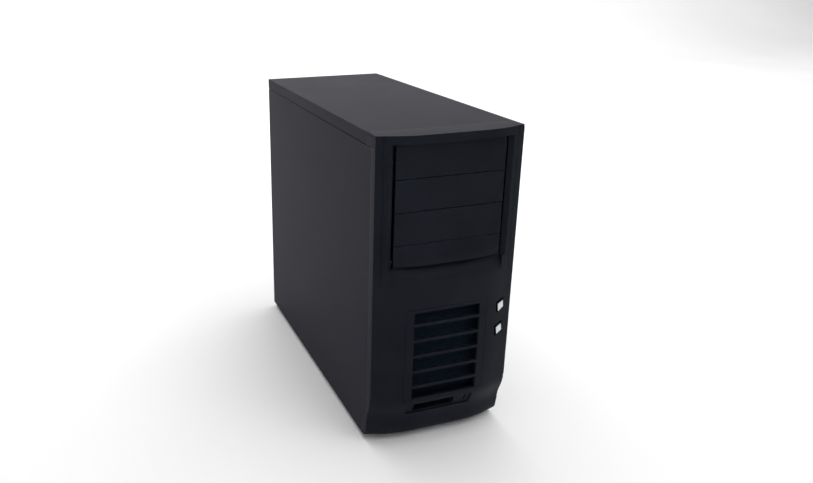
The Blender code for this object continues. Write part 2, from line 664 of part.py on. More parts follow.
def make_io():
    x0, z0 = IO_LOW
    x1, z1 = x0 + IO_SIZE[0], z0 + IO_SIZE[1]
    y = REAR_PANEL_Y - GAP - SKIN
    shield = solid("io_shield", box((x0 - 0.0015, y, z0 - 0.0015), (x1 + 0.0010, y + SKIN, z1 + 0.0015)),
                   (0.55, 0.56, 0.57), 0.3, 0.9)
    ports = solid("io_port_block", box((0.0520, 0.4500, 0.1600), (BOARD_X - GAP, 0.4745, 0.3040)),
                  (0.30, 0.31, 0.32), 0.4, 0.6)
    sockets = bmesh.new()
    cut = bmesh.new()
    rows = ((0.1640, 0.0140), (0.1840, 0.0140), (0.2040, 0.0160), (0.2260, 0.0300), (0.2620, 0.0180),
            (0.2840, 0.0160))
    for z, tall in rows:
        box((0.0560, y - 0.01, z), (0.0740, y + 0.01, z + tall), cut)
        box((0.0580, 0.4600, z + 0.0015), (0.0720, 0.4800, z + tall - 0.0015), sockets)
    boolean(shield, cut)
    boolean(ports, sockets)


def make_power_supply():
    x0, y0, z0 = PSU_LOW
    x1, y1, z1 = x0 + PSU_SIZE[0], y0 + PSU_SIZE[1], z0 + PSU_SIZE[2]
    body = solid("power_supply_case", box((x0, y0, z0), (x1, y1, z1)), (0.40, 0.41, 0.42), 0.4, 0.8)
    wall = 0.0012
    boolean(body, box((x0 + wall, y0 + wall, z0 + wall), (x1 - wall, y1 - wall, z1 - wall)))
    fan = (x0 + 0.050, z0 + 0.043)
    holes = prism(circle(fan, 0.0385, 32), "y", y1 - 0.01, y1 + 0.01)
    box((0.0180, y1 - 0.01, z0 + 0.014), (0.0460, y1 + 0.01, z0 + 0.0345), holes)
    box((0.0240, y1 - 0.01, z0 + 0.048), (0.0380, y1 + 0.01, z0 + 0.0680), holes)
    box((0.0200, y0 - 0.01, z0 + 0.020), (0.0420, y0 + 0.01, z0 + 0.0400), holes)
    for i in range(6):
        slot_x = x0 + 0.020 + i * 0.016
        box((slot_x, y0 - 0.01, z0 + 0.050), (slot_x + 0.010, y0 + 0.01, z0 + 0.074), holes)
    boolean(body, holes)
    make_fan("psu_fan", (fan[0], y1 - wall - GAP, fan[1]), "y", 0.080, 0.0250, -1)
    make_fan_guard(fan, y1)
    make_inlet((0.0320, z0 + 0.02425), y1)
    make_rocker((0.0310, z0 + 0.0580), y1)


def make_fan_guard(centre, face_y):
    """Wire rings on four spokes over the supply's fan."""
    near = face_y + GAP
    guard = solid("psu_fan_guard", prism(circle(centre, 0.0385, 32), "y", near, near + 0.0012),
                  (0.55, 0.56, 0.57), 0.25, 1.0)
    rings = bmesh.new()
    fan_vent(centre, near - 0.01, near + 0.01, rings, PSU_VENT_RINGS, 0.07)
    boolean(guard, rings)


def make_inlet(centre, face_y):
    """Three-pin mains inlet, open to the rear."""
    x, z = centre
    body = box((x - 0.0136, face_y - 0.0180, z - 0.0099), (x + 0.0136, face_y + 0.0003, z + 0.0099))
    inlet = solid("power_inlet", body,
                  (0.02, 0.02, 0.02), 0.4)
    boolean(inlet, box((x - 0.0122, face_y - 0.0160, z - 0.0083), (x + 0.0122, face_y + 0.01, z + 0.0083)))
    pins = bmesh.new()
    for dx, dz in ((-0.007, -0.002), (0.0, 0.002), (0.007, -0.002)):
        box((x + dx - 0.001, face_y - 0.0165, z + dz - 0.002),
            (x + dx + 0.001, face_y - 0.0020, z + dz + 0.002), pins)
    boolean(inlet, pins, "UNION")


def make_rocker(centre, face_y):
    """Rocker with two shallow facets that turns on a pivot across the case's opening."""
    x, z = centre
    pivot_y = face_y - 0.0035
    half = 0.0085
    outline = [(pivot_y - 0.0040, z - 0.0045), (pivot_y - 0.0040, z + 0.0045), (face_y - 0.0005, z + half),
               (face_y + 0.0018, z + half), (face_y + 0.0006, z), (face_y + 0.0018, z - half),
               (face_y - 0.0005, z - half)]
    rocker = solid("psu_rocker", prism(outline, "x", x - 0.0062, x + 0.0062), (0.02, 0.02, 0.02), 0.35,
                   origin=(x, pivot_y, z))
    rocker.rotation_euler = (math.radians(-8), 0, 0)


# ---------------------------------------------------------------- wiring
def make_cable(name, points, radius, colour):
    """A lead along a smooth curve through its own points, drawn with a round section."""
    path = smooth_path([Vector(p) for p in points], 4)
    data = bpy.data.curves.new(name, "CURVE")
    data.dimensions = "3D"
    data.bevel_depth = radius
    data.bevel_resolution = 2
    data.use_fill_caps = True
    spline = data.splines.new("POLY")
    spline.points.add(len(path) - 1)
    for point, place in zip(spline.points, path):
        point.co = (*place, 1.0)
    item = bpy.data.objects.new(name, data)
    item.parent = case
    item.data.materials.append(finish_material(name, colour, 0.5))
    bpy.context.collection.objects.link(item)


def smooth_path(points, steps):
    """Catmull-Rom curve through the points."""
    ends = [points[0] * 2 - points[1]] + points + [points[-1] * 2 - points[-2]]
    path = []
    for p0, p1, p2, p3 in zip(ends, ends[1:], ends[2:], ends[3:]):
        for i in range(steps):
            t = i / steps
            path.append(0.5 * (2 * p1 + (p2 - p0) * t + (2 * p0 - 5 * p1 + 4 * p2 - p3) * t ** 2
                               + (3 * p1 - p0 - 3 * p2 + p3) * t ** 3))
    path.append(points[-1])
    return path


def make_wiring():
    z0 = PSU_LOW[2]
    make_cable("main_power_cable", [(0.034, 0.330, z0 + 0.030), (0.030, 0.290, 0.335), (0.030, 0.258, 0.300),
                                    (0.036, 0.242, 0.255), (0.050, 0.238, 0.2260), (0.0645, 0.238, 0.2225)],
               0.0042, (0.02, 0.02, 0.02))
    make_cable("drive_power_cable", [(0.024, 0.330, z0 + 0.028), (0.010, 0.290, 0.335), (-0.020, 0.250, 0.290),
                                     (-0.030, 0.225, 0.220), (-0.030, 0.214, 0.125), (-0.030, 0.1972, 0.1150)],
               0.0026, (0.35, 0.28, 0.02))
    make_cable("data_cable", [(0.0700, 0.2270, 0.060), (0.050, 0.2230, 0.062), (0.028, 0.222, 0.080),
                              (0.022, 0.214, 0.110), (0.022, 0.1975, 0.1150)], 0.0022, (0.45, 0.02, 0.02))
    make_cable("switch_leads", [(0.0700, 0.2250, 0.030), (0.0660, 0.180, 0.026), (0.0700, 0.100, 0.026),
                                (0.0760, 0.050, 0.080), (0.0850, 0.0280, 0.1540), (0.0850, 0.0200, 0.1618),
                                (0.0850, 0.0142, 0.1620)],
               0.0016, (0.03, 0.03, 0.03))


def make_feet():
    for side_name, side in (("left", -1), ("right", 1)):
        for end_name, y in (("front", 0.0700), ("rear", 0.4350)):
            centre = (side * 0.0760, y)
            outer = prism(circle(centre, 0.0150, 24), "z", -FOOT_HEIGHT, -GAP)
            foot = solid(f"foot_{end_name}_{side_name}", outer, (0.02, 0.02, 0.02), 0.8,
                         origin=(centre[0], centre[1], -FOOT_HEIGHT))
            smooth(foot)


clear_scene()
case = bpy.data.objects.new("case_frame", None)
case.location = (0.0, -(REAR_Y + 0.0067 - BULGE) / 2, FOOT_HEIGHT)
bpy.context.collection.objects.link(case)

make_front_bezel()
make_front_grille()
make_bay_covers()
make_button("power_button", POWER_CORNERS)
make_button("reset_button", RESET_CORNERS)
make_switch_board()
make_top_cover()
for panel_name, panel_side in (("left", -1), ("right", 1)):
    make_side_panel(f"{panel_name}_side_panel", panel_side)
    for place, screw_z in zip(("lower", "upper"), SCREW_Z):
        make_thumbscrew(f"thumbscrew_{panel_name}_{place}", panel_side, screw_z, case)
make_base_pan()
make_rear_panel()
make_front_panel()
make_drive_walls()
make_hard_drive()
make_board_tray()
make_motherboard()
make_cpu_cooler()
make_memory()
make_graphics_card()
make_slot_covers()
make_io()
make_power_supply()
make_fan("rear_fan", (REAR_FAN_XZ[0], REAR_PANEL_Y - GAP, REAR_FAN_XZ[1]), "y", FAN_SIZE, FAN_DEPTH, -1)
make_fan("front_fan", (FRONT_FAN_XZ[0], CAGE_FRONT, FRONT_FAN_XZ[1]), "y", FAN_SIZE, FAN_DEPTH, 1)
make_wiring()
make_feet()
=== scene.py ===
import json
import math

import bmesh
import bpy
from mathutils import Matrix, Vector

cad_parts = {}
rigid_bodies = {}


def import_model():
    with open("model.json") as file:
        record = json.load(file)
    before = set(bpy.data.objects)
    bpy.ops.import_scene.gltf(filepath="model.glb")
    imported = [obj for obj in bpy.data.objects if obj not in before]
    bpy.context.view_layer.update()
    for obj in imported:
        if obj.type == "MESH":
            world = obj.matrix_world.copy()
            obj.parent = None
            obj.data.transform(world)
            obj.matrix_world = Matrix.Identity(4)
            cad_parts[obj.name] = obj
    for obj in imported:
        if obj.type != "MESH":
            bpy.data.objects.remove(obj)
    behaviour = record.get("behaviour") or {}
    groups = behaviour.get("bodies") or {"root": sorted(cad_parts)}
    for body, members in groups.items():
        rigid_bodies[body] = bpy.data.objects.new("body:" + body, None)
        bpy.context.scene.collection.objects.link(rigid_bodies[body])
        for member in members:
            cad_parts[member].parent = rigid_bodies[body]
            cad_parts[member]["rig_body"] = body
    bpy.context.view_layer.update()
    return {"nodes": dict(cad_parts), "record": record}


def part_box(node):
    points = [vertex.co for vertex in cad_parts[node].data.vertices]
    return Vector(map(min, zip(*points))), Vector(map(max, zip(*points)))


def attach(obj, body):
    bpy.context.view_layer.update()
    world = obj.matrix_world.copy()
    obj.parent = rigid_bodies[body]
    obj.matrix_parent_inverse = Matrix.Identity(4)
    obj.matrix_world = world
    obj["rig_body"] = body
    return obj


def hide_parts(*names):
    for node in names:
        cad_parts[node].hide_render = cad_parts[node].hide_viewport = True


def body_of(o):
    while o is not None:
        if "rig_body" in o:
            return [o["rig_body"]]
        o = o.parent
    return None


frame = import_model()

# A desktop computer tower in the case frame: x to the right, y backwards from the plane of the two front
# corners, z up from the underside of the floor pan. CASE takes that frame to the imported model's frame.
MM = 0.001
BULGE = 13.3 * MM
FLAT_HALF = 38 * MM
ARC_END = 80 * MM
WING_ANGLE = math.radians(17.2)
bezel_low, bezel_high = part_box("front_bezel")
CASE = Matrix.Translation((0, bezel_low.y + BULGE, bezel_low.z))
HALF = bezel_high.x
BODY_TOP = bezel_high.z - bezel_low.z
WELD, CUT_MARGIN = 1e-6, 3 * MM
FLAT_ANGLE = math.radians(0.4)
EDGE_BREAK = 0.25 * MM


# ---------------------------------------------------------------- colour and node helpers
def colour(code):
    """An sRGB hex colour as linear RGBA."""
    parts = [int(code[i:i + 2], 16) / 255 for i in (1, 3, 5)]
    return (*(c / 12.92 if c <= 0.04045 else ((c + 0.055) / 1.055) ** 2.4 for c in parts), 1.0)


def add(tree, kind, settings=None, **links):
    """Add a node; settings are its properties, links its inputs by name, each a value or a socket."""
    made = tree.nodes.new("ShaderNode" + kind)
    for name, value in (settings or {}).items():
        setattr(made, name, value)
    for name, value in links.items():
        socket = made.inputs[int(name[1:])] if name[0] == "i" and name[1:].isdigit() else made.inputs[name]
        if isinstance(value, bpy.types.NodeSocket):
            tree.links.new(value, socket)
        else:
            socket.default_value = value
    return made


def surface(name, **sockets):
    """A material and its shader, with constants set straight on the shader's sockets."""
    made = bpy.data.materials.new(name)
    made.use_nodes = True
    tree = made.node_tree
    shader = tree.nodes["Principled BSDF"]
    for socket, value in sockets.items():
        shader.inputs[socket.replace("_", " ")].default_value = value
    place = add(tree, "TexCoord").outputs["Object"]
    return made, tree, shader, place


def blend_colours(tree, shader, factor, first, second, low=0.35, high=0.65):
    """Base colour from the first code to the second as a pattern goes from low to high."""
    ramp = add(tree, "ValToRGB", Fac=factor)
    ramp.color_ramp.elements[0].position, ramp.color_ramp.elements[0].color = low, colour(first)
    ramp.color_ramp.elements[1].position, ramp.color_ramp.elements[1].color = high, colour(second)
    tree.links.new(ramp.outputs["Color"], shader.inputs["Base Color"])


def spread_roughness(tree, shader, factor, low, high):
    """Roughness that follows a pattern from low to high."""
    span = add(tree, "MapRange", Value=factor, **{"To Min": low, "To Max": high})
    tree.links.new(span.outputs["Result"], shader.inputs["Roughness"])


def raise_grain(tree, shader, height, strength, depth):
    """Fine relief from a pattern, too small to model."""
    bump = add(tree, "Bump", Height=height, Strength=strength, Distance=depth)
    tree.links.new(bump.outputs["Normal"], shader.inputs["Normal"])


# ---------------------------------------------------------------- finishes
def powder_coat():
    """Black polyester powder coat: satin, with a fine orange peel that softens every reflection."""
    made, tree, shader, place = surface("powder_coated_steel", IOR=1.5, Specular_IOR_Level=0.02)
    drift = add(tree, "TexNoise", Vector=place, Scale=9.0, Detail=3.0)
    peel = add(tree, "TexNoise", Vector=place, Scale=1 / (1.4 * MM), Detail=2.0)
    blend_colours(tree, shader, drift.outputs["Fac"], "#24242c", "#27272f")
    spread_roughness(tree, shader, drift.outputs["Fac"], 0.40, 0.50)
    raise_grain(tree, shader, peel.outputs["Fac"], 0.10, 0.10 * MM)
    return made


def moulded_abs(name="moulded_abs", dark="#13161d", light="#181b23", rough=(0.44, 0.54)):
    """Black ABS moulded against a spark-eroded tool: an even fine grain, a little duller than the paint."""
    made, tree, shader, place = surface(name, IOR=1.53, Specular_IOR_Level=0.055)
    drift = add(tree, "TexNoise", Vector=place, Scale=14.0, Detail=4.0)
    grain = add(tree, "TexNoise", Vector=place, Scale=1 / (0.7 * MM), Detail=3.0)
    blend_colours(tree, shader, drift.outputs["Fac"], dark, light)
    spread_roughness(tree, shader, drift.outputs["Fac"], *rough)
    raise_grain(tree, shader, grain.outputs["Fac"], 0.16, 0.08 * MM)
    return made


def silver_paint():
    """Silver lacquer on ABS: pale aluminium flake under a clear gloss."""
    made, tree, shader, place = surface("silver_lacquered_abs", Metallic=0.35, IOR=1.5, Coat_Weight=0.4,
                                        Coat_Roughness=0.12)
    flake = add(tree, "TexNoise", Vector=place, Scale=1 / (0.25 * MM), Detail=2.0)
    blend_colours(tree, shader, flake.outputs["Fac"], "#c4c8ca", "#dde0e2")
    spread_roughness(tree, shader, flake.outputs["Fac"], 0.28, 0.42)
    raise_grain(tree, shader, flake.outputs["Fac"], 0.08, 0.02 * MM)
    return made


def zinc_steel():
    """Electro-galvanised sheet: even grey metal with a faint crystalline mottle and fine rolling lines."""
    made, tree, shader, place = surface("zinc_plated_sheet", Metallic=1.0)
    mottle = add(tree, "TexNoise", Vector=place, Scale=1 / (12 * MM), Detail=6.0, Roughness=0.65)
    rolled = add(tree, "Mapping", Vector=place, Scale=(40.0, 40.0, 1400.0))
    lines = add(tree, "TexNoise", Vector=rolled.outputs["Vector"], Scale=1.0, Detail=2.0)
    blend_colours(tree, shader, mottle.outputs["Fac"], "#84868a", "#92959a", 0.3, 0.7)
    spread_roughness(tree, shader, lines.outputs["Fac"], 0.36, 0.48)
    raise_grain(tree, shader, lines.outputs["Fac"], 0.05, 0.03 * MM)
    return made


def gold_flash():
    """Gold-flashed contacts: warm, bright metal, slightly worn."""
    made, tree, shader, place = surface("gold_flashed_contacts", Metallic=1.0)
    wear = add(tree, "TexNoise", Vector=place, Scale=1 / (2 * MM), Detail=2.0)
    blend_colours(tree, shader, wear.outputs["Fac"], "#b48a3c", "#d2ab5a")
    spread_roughness(tree, shader, wear.outputs["Fac"], 0.22, 0.34)
    return made


def nylon(name, dark, light):
    """Glass-filled nylon of connectors: evenly coloured, softly glossy."""
    made, tree, shader, place = surface(name, IOR=1.53, Specular_IOR_Level=0.3)
    drift = add(tree, "TexNoise", Vector=place, Scale=1 / (3 * MM), Detail=2.0)
    blend_colours(tree, shader, drift.outputs["Fac"], dark, light)
    spread_roughness(tree, shader, drift.outputs["Fac"], 0.40, 0.52)
    raise_grain(tree, shader, drift.outputs["Fac"], 0.08, 0.03 * MM)
    return made


def nickel_plate():
    """Nickel-plated steel: bright, slightly warm, with fine turning marks."""
    made, tree, shader, place = surface("nickel_plated_steel", Metallic=1.0)
    marks = add(tree, "TexNoise", Vector=place, Scale=1 / (0.8 * MM), Detail=3.0)
    blend_colours(tree, shader, marks.outputs["Fac"], "#a8a59f", "#c2bfb8")
    spread_roughness(tree, shader, marks.outputs["Fac"], 0.16, 0.30)
    raise_grain(tree, shader, marks.outputs["Fac"], 0.05, 0.02 * MM)
    return made


def solder_mask():
    """Green solder mask over glass-epoxy: glossy, with copper runs showing as lighter streaks."""
    made, tree, shader, place = surface("solder_masked_board", IOR=1.5)
    runs = add(tree, "TexVoronoi", {"feature": "DISTANCE_TO_EDGE"}, Vector=place, Scale=1 / (7 * MM))
    blend_colours(tree, shader, runs.outputs["Distance"], "#2c6b45", "#12402a", 0.02, 0.10)
    spread_roughness(tree, shader, runs.outputs["Distance"], 0.30, 0.22)
    raise_grain(tree, shader, runs.outputs["Distance"], 0.15, 0.05 * MM)
    return made


def extruded_aluminium():
    """Plain extruded aluminium: pale, with fine drawing lines down the fins."""
    made, tree, shader, place = surface("extruded_aluminium", Metallic=1.0)
    drawn = add(tree, "Mapping", Vector=place, Scale=(900.0, 900.0, 12.0))
    lines = add(tree, "TexNoise", Vector=drawn.outputs["Vector"], Scale=1.0, Detail=3.0)
    blend_colours(tree, shader, lines.outputs["Fac"], "#b3b6b9", "#ccced0")
    spread_roughness(tree, shader, lines.outputs["Fac"], 0.28, 0.42)
    raise_grain(tree, shader, lines.outputs["Fac"], 0.08, 0.02 * MM)
    return made


def cast_aluminium():
    """Machined and clear-coated die casting of a drive: grey with a fine speckle."""
    made, tree, shader, place = surface("die_cast_aluminium", Metallic=1.0)
    speckle = add(tree, "TexNoise", Vector=place, Scale=1 / (0.6 * MM), Detail=4.0)
    blend_colours(tree, shader, speckle.outputs["Fac"], "#84878a", "#a3a6a9")
    spread_roughness(tree, shader, speckle.outputs["Fac"], 0.36, 0.54)
    raise_grain(tree, shader, speckle.outputs["Fac"], 0.12, 0.05 * MM)
    return made


def soft_pvc(name, dark, light):
    """Extruded PVC insulation: smooth, with a slow drift of colour along the lead."""
    made, tree, shader, place = surface(name, IOR=1.53)
    drift = add(tree, "TexNoise", Vector=place, Scale=90.0, Detail=3.0)
    blend_colours(tree, shader, drift.outputs["Fac"], dark, light)
    spread_roughness(tree, shader, drift.outputs["Fac"], 0.38, 0.50)
    raise_grain(tree, shader, drift.outputs["Fac"], 0.10, 0.05 * MM)
    return made


def reticulated_foam():
    """Open-cell filter foam: black, with cells of about a millimetre that swallow nearly all light."""
    made, tree, shader, place = surface("reticulated_foam", Roughness=0.95, Specular_IOR_Level=0.02)
    cells = add(tree, "TexVoronoi", Vector=place, Scale=1 / (1.4 * MM))
    blend_colours(tree, shader, cells.outputs["Distance"], "#0b1119", "#161f29", 0.2, 0.8)
    raise_grain(tree, shader, cells.outputs["Distance"], 0.6, 0.3 * MM)
    return made


def foot_rubber():
    """Black nitrile rubber: matte, with a bloom that greys it unevenly."""
    made, tree, shader, place = surface("nitrile_rubber", IOR=1.52)
    bloom = add(tree, "TexNoise", Vector=place, Scale=120.0, Detail=5.0)
    blend_colours(tree, shader, bloom.outputs["Fac"], "#141414", "#232322")
    spread_roughness(tree, shader, bloom.outputs["Fac"], 0.74, 0.90)
    raise_grain(tree, shader, bloom.outputs["Fac"], 0.20, 0.10 * MM)
    return made


# ---------------------------------------------------------------- mesh helpers
def new_piece(shape, name):
    """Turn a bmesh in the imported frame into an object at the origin."""
    mesh = bpy.data.meshes.new(name)
    shape.to_mesh(mesh)
    shape.free()
    item = bpy.data.objects.new(name, mesh)
    bpy.context.scene.collection.objects.link(item)
    return item


def case_mesh(shape, name):
    """Turn a bmesh drawn in the case frame into an object at the origin."""
    bmesh.ops.transform(shape, matrix=CASE, verts=shape.verts)
    return new_piece(shape, name)


def dress(item, finish, body, slot, *stands_for):
    """Give a piece its finish and its body, and hide the CAD nodes it stands for; the slot argument is not
    used.
    """
    item.data.materials.clear()
    item.data.materials.append(FINISHES[finish])
    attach(item, body)
    if stands_for:
        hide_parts(*stands_for)


def soften(item, angle=30):
    """Smooth shading that keeps flat faces flat and lets only the broken edges roll."""
    item.data.shade_smooth()
    item.data.set_sharp_from_angle(angle=math.radians(angle))
    even = item.modifiers.new("even_normals", "WEIGHTED_NORMAL")
    even.keep_sharp = True


def bevel_edges(shape, edges, width, segments=2):
    """Round the edges given, leaving out those that an earlier bevel took."""
    edges = [e for e in edges if e.is_valid]
    bmesh.ops.bevel(shape, geom=edges, offset=width, offset_type="OFFSET", segments=segments, profile=0.5,
                    affect="EDGES", clamp_overlap=True, material=-1)


def sharp_edges(shape, angle=30):
    limit = math.radians(angle)
    return [e for e in shape.edges if len(e.link_faces) == 2 and e.calc_face_angle(0) > limit]


def between(value, low, high, slack=1e-6):
    return low - slack <= value <= high + slack


# ---------------------------------------------------------------- the bezel's surface
def bulge(x):
    """How far the front stands ahead of the corner plane, a distance x from the middle."""
    x = abs(x)
    radius = (ARC_END - FLAT_HALF) / math.sin(WING_ANGLE)
    if x <= FLAT_HALF:
        return BULGE
    if x <= ARC_END:
        return BULGE - radius + math.sqrt(radius ** 2 - (x - FLAT_HALF) ** 2)
    return BULGE - radius * (1 - math.cos(WING_ANGLE)) - math.tan(WING_ANGLE) * (x - ARC_END)


# height in millimetres, and how far the chin stands back there
CHIN = ((74, 0), (69, 0.1), (65, 0.45), (61, 1.1), (57, 2.2), (53, 3.6), (49, 5.2), (45, 6.9), (41, 8.5),
        (37, 9.9), (33, 11.1), (28, 12.1), (22, 12.7), (16, 13.2), (11, 14.0), (7, 15.5), (4, 17.8),
        (1.8, 20.6), (0.5, 23.2), (0, 25))


def setback(z):
    """How far the chin stands back at a height z."""
    z /= MM
    if z >= CHIN[0][0]:
        return 0.0
    for (z_a, s_a), (z_b, s_b) in zip(CHIN, CHIN[1:]):
        if z >= z_b:
            return (s_a + (s_b - s_a) * (z_a - z) / (z_a - z_b)) * MM
    return CHIN[-1][1] * MM


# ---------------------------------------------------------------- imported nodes, their edges broken
FINISHES = {
    "bezel_plastic": moulded_abs(), "button_plastic": silver_paint(), "panel_paint": powder_coat(),
    "bare_steel": zinc_steel(), "screw_steel": nickel_plate(), "foot_rubber": foot_rubber(),
    "board_green": solder_mask(), "fin_aluminium": extruded_aluminium(), "port_metal": nickel_plate(),
    "drive_metal": cast_aluminium(), "filter_foam": reticulated_foam(), "contacts": gold_flash(),
    "fan_plastic": moulded_abs("glass_filled_pbt", "#0e0e10", "#161618", (0.5, 0.62)),
    "inlet_plastic": moulded_abs("moulded_nylon", "#101012", "#18181b", (0.36, 0.48)),
    "cable_black": soft_pvc("black_pvc", "#101011", "#19191b"),
    "cable_yellow": soft_pvc("yellow_pvc", "#b8930e", "#cba51c"),
    "cable_red": soft_pvc("red_pvc", "#8c1212", "#a81c18"),
    "white_nylon": nylon("white_nylon", "#c9c8c2", "#d8d7d2"),
    "blue_nylon": nylon("blue_nylon", "#20417c", "#2a4f92"),
    "black_nylon": nylon("black_nylon", "#0f0f11", "#17171a"),
}
SLOT_OF = {row["node"]: row["material_slot"] for row in frame["record"]["subparts"]}


def finished_copy(node, width):
    """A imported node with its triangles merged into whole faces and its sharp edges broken."""
    shape = bmesh.new()
    shape.from_mesh(frame["nodes"][node].data)
    bmesh.ops.remove_doubles(shape, verts=shape.verts, dist=WELD)
    bmesh.ops.dissolve_limit(shape, angle_limit=FLAT_ANGLE, verts=shape.verts, edges=shape.edges)
    bevel_edges(shape, sharp_edges(shape), width)
    item = new_piece(shape, node + "_finished")
    soften(item)
    dress(item, SLOT_OF[node], body_of(frame["nodes"][node])[0], SLOT_OF[node], node)


# ---------------------------------------------------------------- the front, as sheets cut in x and z
def lattice(x_lines, z_lines):
    """A flat sheet that faces forwards, cut along every line given."""
    shape = bmesh.new()
    left, right, foot, head = x_lines[0], x_lines[-1], z_lines[0], z_lines[-1]
    corners = ((left, foot), (right, foot), (right, head), (left, head))
    shape.faces.new([shape.verts.new((x, 0, z)) for x, z in corners])
    for normal, lines in ((Vector((1, 0, 0)), x_lines), (Vector((0, 0, 1)), z_lines)):
        for line in lines[1:-1]:
            everything = list(shape.verts) + list(shape.edges) + list(shape.faces)
            bmesh.ops.bisect_plane(shape, geom=everything, dist=1e-7, plane_co=normal * line, plane_no=normal)
    return shape


def spaced(low, high, step):
    """Evenly spaced lines from low to high, about a step apart."""
    count = max(1, round((high - low) / step))
    return [low + (high - low) * i / count for i in range(count + 1)]


def merged(*groups):
    """Sorted lines without the ones that nearly repeat; the first group to name a line keeps it."""
    kept = []
    for group in groups:
        kept += [line for line in group if all(abs(line - other) > 0.25 * MM for other in kept)]
    return sorted(kept)


def cut_window(shape, low_x, high_x, low_z, high_z):
    """Drop the sheet's faces inside a window of x and z."""
    inside = [f for f in shape.faces if between(f.calc_center_median().x, low_x, high_x)
              and between(f.calc_center_median().z, low_z, high_z)]
    bmesh.ops.delete(shape, geom=inside, context="FACES")


def cut_slanted(shape, outline):
    """Cut the sheet along the sides of a slanted opening and drop what is inside."""
    middle = sum(outline, Vector()) / len(outline)
    reach = max((corner - middle).length for corner in outline) + CUT_MARGIN
    planes = []
    for start, end in zip(outline, outline[1:] + outline[:1]):
        along = end - start
        normal = Vector((along.z, 0, -along.x)).normalized()
        planes.append((start, normal if normal.dot(start - middle) > 0 else -normal))
        near = [f for f in shape.faces if (f.calc_center_median() - middle).length < reach]
        parts = set(near)
        for face in near:
            parts.update(face.edges)
            parts.update(face.verts)
        bmesh.ops.bisect_plane(shape, geom=list(parts), dist=1e-7, plane_co=start, plane_no=planes[-1][1])
    inside = [f for f in shape.faces
              if all(normal.dot(f.calc_center_median() - spot) < 0 for spot, normal in planes)]
    bmesh.ops.delete(shape, geom=inside, context="FACES")


def rim(shape, low_x, high_x, low_z, high_z):
    """The sheet's open edges inside a window of x and z."""
    return [e for e in shape.edges if len(e.link_faces) == 1 and all(
        between(v.co.x, low_x, high_x, 1e-5) and between(v.co.z, low_z, high_z, 1e-5) for v in e.verts)]


def wall_back(shape, edges, depth):
    """Run open edges straight back; depth is a y, or gives one for a corner."""
    grown = bmesh.ops.extrude_edge_only(shape, edges=edges)["geom"]
    for vert in (v for v in grown if isinstance(v, bmesh.types.BMVert)):
        vert.co.y = depth(vert.co) if callable(depth) else depth


def face_forwards(shape):
    """Point the faces outwards, judged by the one nearest to the middle of the front."""
    bmesh.ops.recalc_face_normals(shape, faces=shape.faces)
    front = max(shape.faces, key=lambda f: f.calc_area() * abs(f.normal.y))
    if front.normal.y > 0:
        bmesh.ops.reverse_faces(shape, faces=shape.faces)


def add_wall(item, thickness):
    wall = item.modifiers.new("wall", "SOLIDIFY")
    wall.thickness, wall.offset = thickness, -1.0
    return item


# ---------------------------------------------------------------- front bezel
BAY_HALF, BAY_LOW, BAY_HIGH = 79.5 * MM, 256.5 * MM, 418 * MM
RECESS_HALF, RECESS_FOOT = 85 * MM, -1.2 * MM
SCOOP_LOW, SCOOP_END = 234 * MM, 0.5 * MM
GRILLE_HALF, GRILLE_LOW, GRILLE_HIGH = 59 * MM, 62.5 * MM, 199 * MM
POCKET = (-52 * MM, 46 * MM, 38 * MM, 56 * MM)
POCKET_DEPTH = 2.4 * MM
PULL_SLOT = (-41 * MM, 20 * MM, 41.5 * MM, 54 * MM)
NICK = (36.4 * MM, 38.1 * MM, 43.9 * MM, 53.1 * MM)
NICK_DEPTH = 5 * MM
NICK_LINES_X = [x * MM for x in (36, 36.5, 38, 38.5)]
NICK_LINES_Z = [z * MM for z in (43.5, 44, 53, 53.5)]
POWER = ((78.6, 185.2), (88.1, 188.8), (89.3, 179.2), (80.2, 174.3))
RESET = ((78.4, 150.0), (87.5, 154.0), (89.4, 144.0), (80.2, 139.8))
WELLS = {"power": ((75.2, 188.8), (88.9, 193.6), (90.0, 178.3), (76.8, 172.2)),
         "reset": ((75.0, 153.4), (88.2, 158.2), (90.1, 143.2), (76.8, 137.8))}
SEAM_X, SEAM_DEPTH, SEAM_REACH = 93 * MM, 0.6 * MM, 0.35 * MM
STEP = 0.4 * MM
# the second number is the band along the bezel's top and sides that takes the steel's paint, as painted light
WALL, PAINTED_LIGHT_BAND = 1.8 * MM, 1.4 * MM
# how deep the outer walls run: at the top, along the sides, and more towards the foot of the chin
TOP_WALL_Z, TOP_WALL = 413.1 * MM, 28 * MM
SIDE_WALL, FOOT_WALL_MORE, FOOT_Z, FOOT_RISE = 14 * MM, 16 * MM, 46 * MM, 26 * MM
RIM_DEPTH = {"bay": 1.5 * MM, "grille": -4 * MM, "slot": 14 * MM, "power": 6 * MM, "reset": 6 * MM,
             "outer": lambda corner: wall_end(corner.z)}
RIM_BEVEL = {"outer": (1.3 * MM, 4), "bay": (1.2 * MM, 3), "brink": (0.6 * MM, 3), "grille": (0.45 * MM, 2),
             "slot": (0.45 * MM, 2), "power": (0.45 * MM, 2), "reset": (0.45 * MM, 2)}


def outline_of(corners, grow=0.0):
    """A button's outline in the case frame, grown outwards from its middle."""
    points = [Vector((x * MM, 0, z * MM)) for x, z in corners]
    middle = sum(points, Vector()) / len(points)
    return [p + Vector((math.copysign(1, p.x - middle.x) * grow, 0,
                        math.copysign(1, p.z - middle.z) * grow)) for p in points]


def scooped(x, z):
    """How far the finger scoop under the lowest cover has taken the front towards the covers, 0 to 1."""
    if z < SCOOP_LOW or z > BAY_LOW + STEP or abs(x) > BAY_HALF - 0.5 * STEP:
        return 0.0
    climb = min(1.0, (z - SCOOP_LOW) / (BAY_LOW - SCOOP_LOW))
    return climb * climb * (1.6 - 0.6 * climb)


def in_recess_side(x, z):
    return (between(abs(x), BAY_HALF - STEP / 4, RECESS_HALF)
            and between(z, BAY_LOW + 0.9 * STEP, BAY_HIGH - 0.9 * STEP))


